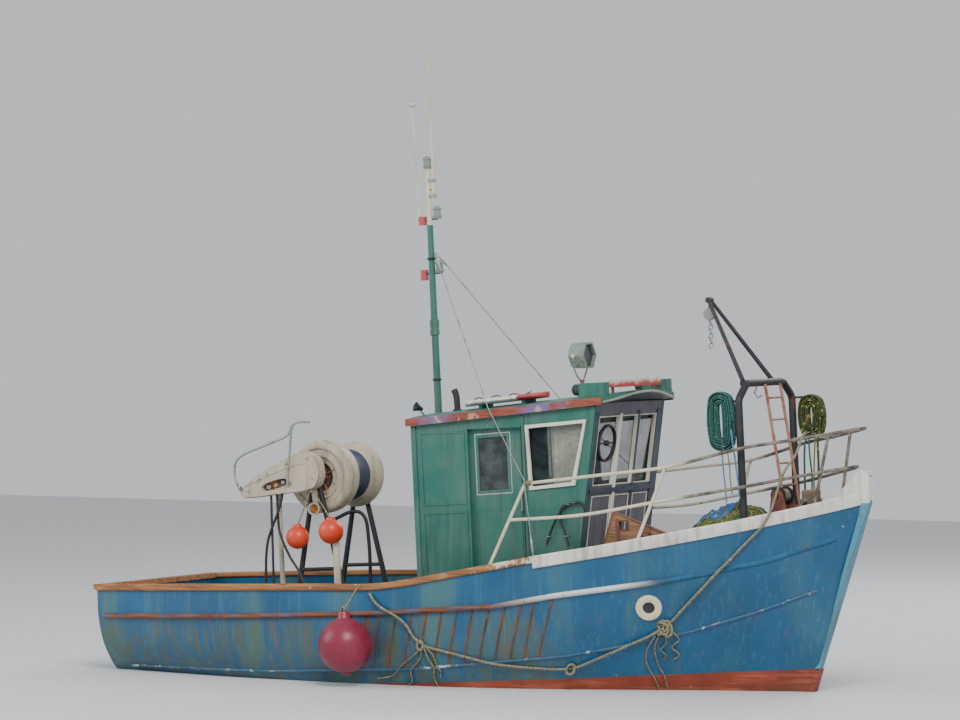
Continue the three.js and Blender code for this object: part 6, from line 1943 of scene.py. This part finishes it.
def makeGantry():
    x, half, top = gantry["x"], gantry["half"], gantry["top"]
    foot = deckTop(x)
    pipe, fittings = Shape(), Shape()
    side = [(x, half, foot - 0.005), (x, half, 2.7), (x, half, 2.745), (x, half - 0.018, 2.785),
        (x, half - 0.05, 2.815), (x, half - 0.15, 2.893), (x, half - 0.175, 2.912), (x, half - 0.21, 2.927),
        (x, half - 0.26, top)]
    pipe.tube([*side, *((a, -b, c) for a, b, c in reversed(side))], gantry["pipe"], 24)
    for hand in (-1, 1):
        fittings.turned([(0, -0.004), (0.068, -0.004), (0.068, 0.01), (0.046, 0.016), (0.0385, 0.04)],
            (x, hand * half, foot), sides=28)
        for k in range(4):
            angle = math.pi / 4 + math.pi / 2 * k
            fittings.turned(disc(0.011, 0, 0.01),
                (x + 0.055 * math.cos(angle), hand * half + 0.055 * math.sin(angle), foot + 0.01), sides=6)
        y = hand * (derrick["foot"] + 0.022)
        hole = bore(derrick["hinge"], top, 0.0112, 16)
        fittings.plate([(x - 0.1, top - 0.018), (x - 0.085, top - 0.03), (x - 0.02, top - 0.03),
            (x - 0.02, top + 0.032), (x - 0.085, top + 0.032), (x - 0.1, top + 0.018)], y - 0.006, y + 0.006,
            1, [hole])
    for y, reach in ((-0.6, -0.205), (0.6, 0.215)):
        fittings.tube([(x, y, 2.76), (x + reach * 0.93, y, 2.76), (x + reach, y, 2.764)], 0.0115, 12)
    bracket = Shape().tube([(x - 0.03, -0.12, top - 0.03), (x - 0.06, -0.12, top - 0.1),
        (x - 0.03, -0.12, top - 0.15), (x + 0.02, -0.12, top - 0.13)], 0.009, 10)
    joinedPiece("bowGantry", "hull", [(pipe, "black_steel"), (fittings, "black_steel"),
        (bracket, "galvanised")], ["bow_gantry"], "black_steel", bevel=0.001, angle=40)


def makeDerrick():
    x, z = derrick["headX"], derrick["headZ"]
    hinge, top = derrick["hinge"], gantry["top"]
    boom = Shape()
    for hand in (-1, 1):
        y = hand * derrick["foot"]
        boom.bar((hinge - 0.01, y * 0.985, top + 0.024), (x, hand * 0.022, z), derrick["pipe"],
            derrick["tip"])
        boom.turned([(0, -0.014), (0.02, -0.014), (0.022, -0.01), (0.022, 0.01), (0.02, 0.014), (0, 0.014)],
            (hinge, y, top), (0, 1, 0), 24)
        boom.bar((hinge, y - 0.03, top), (hinge, y + 0.03, top), 0.0106)
        boom.bar((hinge, y, top), (hinge - 0.022, y * 0.97, top + 0.05), 0.014)
    boom.turned([(0, -0.046), (0.024, -0.046), (0.03, -0.04), (0.03, 0.04), (0.024, 0.046), (0, 0.046)],
        (x, 0, z), (0, 1, 0), 28)
    boom.bar((x - 0.004, 0, z - 0.0757), (x - 0.004, 0, z), 0.012)
    made("derrickBoom", "derrick_boom", "black_steel", boom, ["derrick"], angle=40)


def makeBlock():
    # block and chain that hang from the derrick's head
    x, z = derrick["headX"], derrick["headZ"]
    block, sheave, chain = Shape(), Shape(), Shape()
    centre = (x - 0.004, 0, z - 0.14)
    for hand in (-1, 1):
        block.turned([(0, 0.014), (0.05, 0.014), (0.062, 0.016), (0.064, 0.02), (0.058, 0.026),
            (0.014, 0.027), (0.012, 0.03), (0, 0.03)], centre, (0, hand, 0), 32)
    sheave.turned([(0, -0.013), (0.05, -0.013), (0.042, -0.004), (0.042, 0.004), (0.05, 0.013), (0, 0.013)],
        centre, (0, 1, 0), 32)
    block.block((x - 0.018, -0.014, z - 0.11), (x + 0.01, 0.014, z - 0.0763))
    chainLinks(chain, [(centre[0], 0, z - 0.2 - 0.0465 * k) for k in range(7)], 0.062)
    joinedPiece("derrickBlock", "derrick_boom", [(block, "galvanised"), (sheave, "hubRust"),
        (chain, "galvanised")], ["derrick_block"], "galvanised", bevel=0.001, angle=40)


ladder = {"foot": 3.42, "head": (3.234, 0, 2.9), "sides": (-0.1, 0.24), "pipe": 0.0155, "rung": 0.01,
    "rungs": (0.14, 0.288, 0.436, 0.584, 0.732, 0.88)}


def makeLadder():
    rails = Shape()
    deck = deckTop(ladder["foot"])
    foot, head = Vector((ladder["foot"], 0, deck - 0.004)), Vector(ladder["head"])
    offs = [Vector((0, y, 0)) for y in ladder["sides"]]
    for off in offs:
        rails.tube([foot + off, foot.lerp(head, 0.5) + off, foot.lerp(head, 0.96) + off,
            head + off + Vector((-0.004, 0, 0.012))], ladder["pipe"], 14)
        rails.turned(disc(0.032, 0, 0.008), (ladder["foot"], off.y, deck + boat["gap"]), sides=20)
    for share in ladder["rungs"]:
        place = foot.lerp(Vector((3.23, 0, 2.95)), share)
        rails.bar(place + offs[0], place + offs[1], ladder["rung"])
    made("bowLadder", "hull", "ladderPink", rails, ["ladder"], "red_brown", angle=40)


# Mooring bitts: two posts with a bar through them, each post by height and half its width
bitts = {"x": 3.64, "off": 0.095, "bar": 0.22,
    "post": ((-0.01, 0.045), (0.16, 0.045), (0.25, 0.041), (0.31, 0.044), (0.33, 0.034))}


def makeBitts():
    posts, caps = Shape(), Shape()
    x = bitts["x"]
    foot = deckTop(x)
    for y in (-bitts["off"], bitts["off"]):
        rings = []
        for up, half in bitts["post"]:
            rings.append([(a, b, foot + up) for a, b in oblong(x - half, y - half, x + half, y + half)])
        posts.loft(rings)
    caps.turned([(0, -0.21), (0.024, -0.21), (0.029, -0.2), (0.026, -0.1), (0.026, 0.1), (0.029, 0.2),
        (0.024, 0.21), (0, 0.21)], (x, 0, foot + bitts["bar"]), (0, 1, 0), 28)
    joinedPiece("mooringBitts", "hull", [(posts, "bare_wood"), (caps, "galvanised")], ["mooring_bitts"],
        "bare_wood", bevel=0.004, angle=30)


winch = {"x": 3.48, "y": -0.33, "z": 1.8, "half": 0.11, "turns": 9, "rope": 0.0075}


def makeWinch():
    x, y, z, half = winch["x"], winch["y"], winch["z"], winch["half"]
    frame = Shape()
    aft, fore, top = x - 0.13, x + 0.13, z + 0.055
    cheek = [(aft, deckTop(aft) - 0.008), (fore, deckTop(fore) - 0.008), (fore - 0.07, top - 0.03),
        (fore - 0.095, top), (aft + 0.095, top), (aft + 0.07, top - 0.03)]
    for side in (y - half, y + half):
        frame.plate(cheek, side - 0.008, side + 0.008, 1, [bore(x, z, 0.0188, 20)])
        frame.block((aft - 0.015, side - 0.03, deckTop(aft) - 0.006),
            (fore + 0.015, side + 0.03, deckTop(aft) + 0.01))
    frame.bar((x - 0.075, y - half, 1.66), (x - 0.075, y + half, 1.66), 0.012)
    made("winchFrame", "hull", "red_brown", frame, ["winch_frame"], bevel=0.002, angle=30)
    reach = half - 0.014
    flange = [(0, -reach - 0.055), (0.016, -reach - 0.055), (0.018, -reach - 0.05), (0.018, -reach),
        (0.085, -reach), (0.087, -reach + 0.006), (0.085, -reach + 0.012), (0.05, -reach + 0.014)]
    barrel = Shape().turned([*flange, *((r, -a) for r, a in reversed(flange))], (x, y, z), (0, 1, 0), 40)
    made("winchBarrel", "winch_barrel", "black_steel", barrel, ["winch_drum"], angle=30)
    coil = []
    for share in steps(0, 1, 180):
        angle = 2 * math.pi * winch["turns"] * share
        away = y - reach + 0.02 + (2 * reach - 0.04) * share
        coil.append((x + 0.057 * math.cos(angle), away, z + 0.057 * math.sin(angle)))
    ropePiece("winchTurns", "winch_barrel", [coil], winch["rope"], "old_rope")


otter = {"aft": 1.64, "fore": 2.42, "y": -0.8}


def makeOtterBoard():
    aft, fore, y = otter["aft"], otter["fore"], otter["y"]
    low, high = deckTop(aft) - 0.01, deckTop(fore) - 0.01
    outline = [(aft, low), (fore, high), (fore - 0.008, high + 0.125), (fore - 0.029, high + 0.18),
        (aft + 0.176, low + 0.515)]
    hole = [(aft + 0.205, low + 0.31), (aft + 0.355, low + 0.315), (aft + 0.355, low + 0.42),
        (aft + 0.21, low + 0.425)]

    def shoe(tall):
        return [(aft, low), (fore, high), (fore, high + tall), (aft, low + tall)]

    board, iron = Shape(), Shape()
    board.plate(inset(outline, 0.004), y - 0.021, y + 0.021, 1, [hole])
    iron.plate(outline, y - 0.025, y + 0.025, 1, [inset(outline, 0.018)])
    iron.plate(shoe(0.012), y - 0.058, y + 0.058)
    for side in (-1, 1):
        iron.plate(shoe(0.055), *span(y, side, 0.022, 0.034))
        for share in (0.3, 0.62, 0.85):
            x, foot = aft + share * (fore - aft), low + share * (high - low)
            top = low + 0.47 - max(0.0, share - 0.26) * 0.44
            iron.plate(oblong(x - 0.014, foot + 0.05, x + 0.014, top - 0.02), *span(y, side, 0.019, 0.027))
    frameStrip(iron, hole, 0.014, y - 0.026, y + 0.026)
    iron.tube([(aft + 0.5, y - 0.024, low + 0.3), (aft + 0.5, y - 0.07, low + 0.31),
        (aft + 0.6, y - 0.07, low + 0.29), (aft + 0.6, y - 0.024, low + 0.27)], 0.009, 10)
    joinedPiece("otterBoard", "hull", [(board, "otterPlanks"), (iron, "red_brown")], ["otter_board"],
        "red_brown", bevel=0.002, angle=30)


# Heap of netting on the foredeck, and a cloth on it
heap = {"aft": 2.63, "fore": 3.315, "wide": 0.6, "high": 0.305, "strands": 150, "seed": 5}


def heapTop(x, across):
    # surface point of the heap: across runs from its outer edge at 0 to its inner edge at 1
    along = min(max((x - heap["aft"]) / (heap["fore"] - heap["aft"]), 0.0), 1.0)
    rise = heap["high"] * max(math.sin(math.pi * (0.04 + 0.92 * along)), 0.05) ** 0.5
    hump = max(1 - abs(2 * across - 0.92) ** 2.6, 0.0)
    y = -(breadthAt(x, deckTop(x)) - 0.085) + heap["wide"] * across
    rough = 0.028 * noise.noise((x * 9, y * 9, 3.1)) + 0.016 * noise.noise((x * 27, y * 27, 1.7))
    return Vector((x, y, deckTop(x) + 0.004 + max(rise * hump + rough * (0.3 + hump), 0.0)))


def makeNetHeap():
    body = Shape()
    rings = []
    for x in steps(heap["aft"], heap["fore"], 44):
        top = [heapTop(x, share) for share in steps(0, 1, 34)]
        floor = [Vector((point.x, point.y, deckTop(x) + 0.001)) for point in reversed(top)]
        rings.append([tuple(point) for point in [*top, *floor]])
    body.loft(rings)
    made("netHeap", "hull", "net_twine", body, ["net_heap"], angle=60)
    chance = random.Random(heap["seed"])
    groups = {"net_twine": [], "tealTwine": [], "old_rope": []}
    for place in range(heap["strands"]):
        x = chance.uniform(heap["aft"] + 0.05, heap["fore"] - 0.05)
        across, heading = chance.uniform(0.06, 0.94), chance.uniform(0, 2 * math.pi)
        path = []
        for _ in range(chance.randint(9, 20)):
            heading += chance.uniform(-0.7, 0.7)
            x, across = x + 0.026 * math.cos(heading), across + 0.04 * math.sin(heading)
            if not (heap["aft"] + 0.02 < x < heap["fore"] - 0.02 and 0.04 < across < 0.96):
                break
            path.append(heapTop(x, across) + Vector((0, 0, chance.uniform(0.002, 0.014))))
        if len(path) > 4:
            look = ("net_twine", "net_twine", "tealTwine", "old_rope")[place % 4]
            smooth = curveThrough([tuple(point) for point in path], len(path) * 3)
            groups[look].append([Vector(point) for point in smooth])
    strands = [(Shape(), look) for look in groups]
    for shape, look in strands:
        for path in groups[look]:
            shape.tube(path, chance.uniform(0.005, 0.0085), 6)
    joinedPiece("netStrands", "hull", strands, (), "net_twine", angle=70)


cloth = {"aft": 2.66, "edge": 0.16, "long": 0.4, "wide": 0.3, "across": 30, "along": 26, "lift": 0.02}


def makeHeapCloth():
    across, along = cloth["across"], cloth["along"]
    points = []
    for j in range(along + 1):
        for i in range(across + 1):
            x = cloth["aft"] + cloth["long"] * i / across
            share = cloth["edge"] + cloth["wide"] / heap["wide"] * j / along + 0.05 * math.sin(i * 0.22)
            top = heapTop(x, share)
            ripple = noise.noise((x * 14, share * 9, 8.0))
            top.z += cloth["lift"] + 0.011 * ripple + 0.006 * math.sin(i * 0.9 + j * 0.35)
            points.append(tuple(top))
    piece = clothPiece("blueCloth", points, across, "blueCanvas", 0.0015)


# Round clear-view screen in the front light
clearView = {"y": -0.4, "z": 2.386}


def makeClearView():
    ring = Shape()
    y, z = clearView["y"], clearView["z"]
    centre = Vector((frontAt(z) - 0.02, y, z))
    facing = Vector((1, 0, -frontSlope)).normalized()
    ring.turned([(0.172, -0.014), (0.19, -0.012), (0.194, 0.0), (0.19, 0.02), (0.172, 0.022), (0.168, 0.004),
        (0.172, -0.014)], centre, facing, 48, capped=False)
    ring.turned([(0, -0.016), (0.026, -0.016), (0.03, 0.01), (0.022, 0.03), (0, 0.034)], centre, facing, 28)
    ring.bar(centre + Vector((0.004, -0.17, 0)), centre + Vector((0.004, 0.17, 0)), 0.008, sides=10)
    made("clearViewScreen", "hull", "black_steel", ring)


# Double hoop of black hose clipped to the starboard side: runs and clips by x and height
sideHoses = {
    "radius": 0.011,
    "off": 0.03,
    "sideHoseOuter": [(1.031, 1.396), (1.09, 1.54), (1.172, 1.68), (1.25, 1.76), (1.36, 1.805),
        (1.45, 1.79), (1.487, 1.74)],
    "sideHoseInner": [(1.285, 1.371), (1.25, 1.5), (1.21, 1.62), (1.196, 1.71), (1.23, 1.765), (1.3, 1.79)],
    "clips": [(1.06, 1.47), (1.36, 1.805), (1.26, 1.47), (1.3, 1.79)],
}


def makeSideHoses():
    wall, radius = -house["half"], sideHoses["radius"]
    for name in ("sideHoseOuter", "sideHoseInner"):
        run = [(x, wall - sideHoses["off"], z) for x, z in sideHoses[name]]
        path = [Vector(point) for point in curveThrough(run, 40)]
        piece = made(name, "hull", "black_steel", Shape().tube(path, radius, 14))
    clips = Shape()
    for x, z in sideHoses["clips"]:
        bend = ((-0.02, 0.002), (-0.018, 0.044), (0.018, 0.044), (0.02, 0.002))
        clips.tube([(x + along, wall - out, z) for along, out in bend], 0.004, 8)
    made("hoseClips", "hull", "galvanised", clips)


rudder = {"x": -3.78, "low": -0.88, "high": -0.04, "half": 0.015, "strap": 0.021, "stock": 0.024}


def makeRudder():
    blade = Shape()
    x, low, high = rudder["x"], rudder["low"], rudder["high"]
    outline = [(x + 0.06, low), (x - 0.36, low + 0.028), (x - 0.4, low + 0.06), (x - 0.42, low + 0.25),
        (x - 0.365, high - 0.23), (x - 0.35, high - 0.21), (x + 0.07, high - 0.21)]
    blade.plate(outline, -rudder["half"], rudder["half"])
    for z in (low + 0.2, high - 0.32):
        blade.plate([(x + 0.06, z), (x - 0.33, z + 0.01), (x - 0.33, z + 0.05), (x + 0.06, z + 0.06)],
            -rudder["strap"], rudder["strap"])
    blade.bar((x, 0, low), (x, 0, 0.29), rudder["stock"])
    blade.bar((x, 0, low - 0.05), (x, 0, low + 0.02), 0.016)
    made("rudderBlade", "rudder_blade", "antifouling", blade, ["rudder"], bevel=0.004, angle=30)


makeGuardRails()
makeGantry()
makeDerrick()
makeBlock()
makeLadder()
makeBitts()
makeWinch()
makeOtterBoard()
makeNetHeap()
makeHeapCloth()
makeClearView()
makeSideHoses()
makeRudder()
print("bow gear made")

# Floor and light
studio = {"floorSize": 60.0, "floorShade": 0.62, "sky": 0.75}


def addFloor():
    half = studio["floorSize"] / 2
    mesh = bpy.data.meshes.new("floor")
    corners = [(x, y, 0) for x, y in oblong(-half, -half, half, half)]
    mesh.from_pydata(corners, [], [(0, 1, 2, 3)])
    floor = bpy.data.objects.new("floor", mesh)
    bpy.context.scene.collection.objects.link(floor)
    paint = Paint("floorPaint")
    cloudy = paint.noise(0.5, 3)
    shade = studio["floorShade"]
    tone = paint.mix(cloudy, (shade, shade, shade * 1.01), (shade * 1.04,) * 3)
    mesh.materials.append(paint.finish(tone, 0.8))


def addLight(name, place, size, power, tint=(1, 1, 1)):
    light = bpy.data.lights.new(name, "AREA")
    light.shape = "DISK"
    light.size = size
    light.energy = power
    light.color = tint
    lamp = bpy.data.objects.new(name, light)
    lamp.location = place
    lamp.rotation_euler = (Vector((0, 0, 1.2)) - Vector(place)).to_track_quat("-Z", "Y").to_euler()
    bpy.context.scene.collection.objects.link(lamp)


def addLights():
    world = bpy.data.worlds.new("studio")
    world.use_nodes = True
    background = world.node_tree.nodes["Background"]
    background.inputs["Color"].default_value = (0.86, 0.9, 0.95, 1)
    background.inputs["Strength"].default_value = studio["sky"]
    bpy.context.scene.world = world
    addLight("key", (10, -14, 16), 9, 3600, (1.0, 0.97, 0.92))
    addLight("fill", (-14, -10, 9), 10, 1200, (0.9, 0.95, 1.0))
    addLight("back", (2, 16, 12), 10, 1500)


addFloor()
addLights()
print("floor and light set")
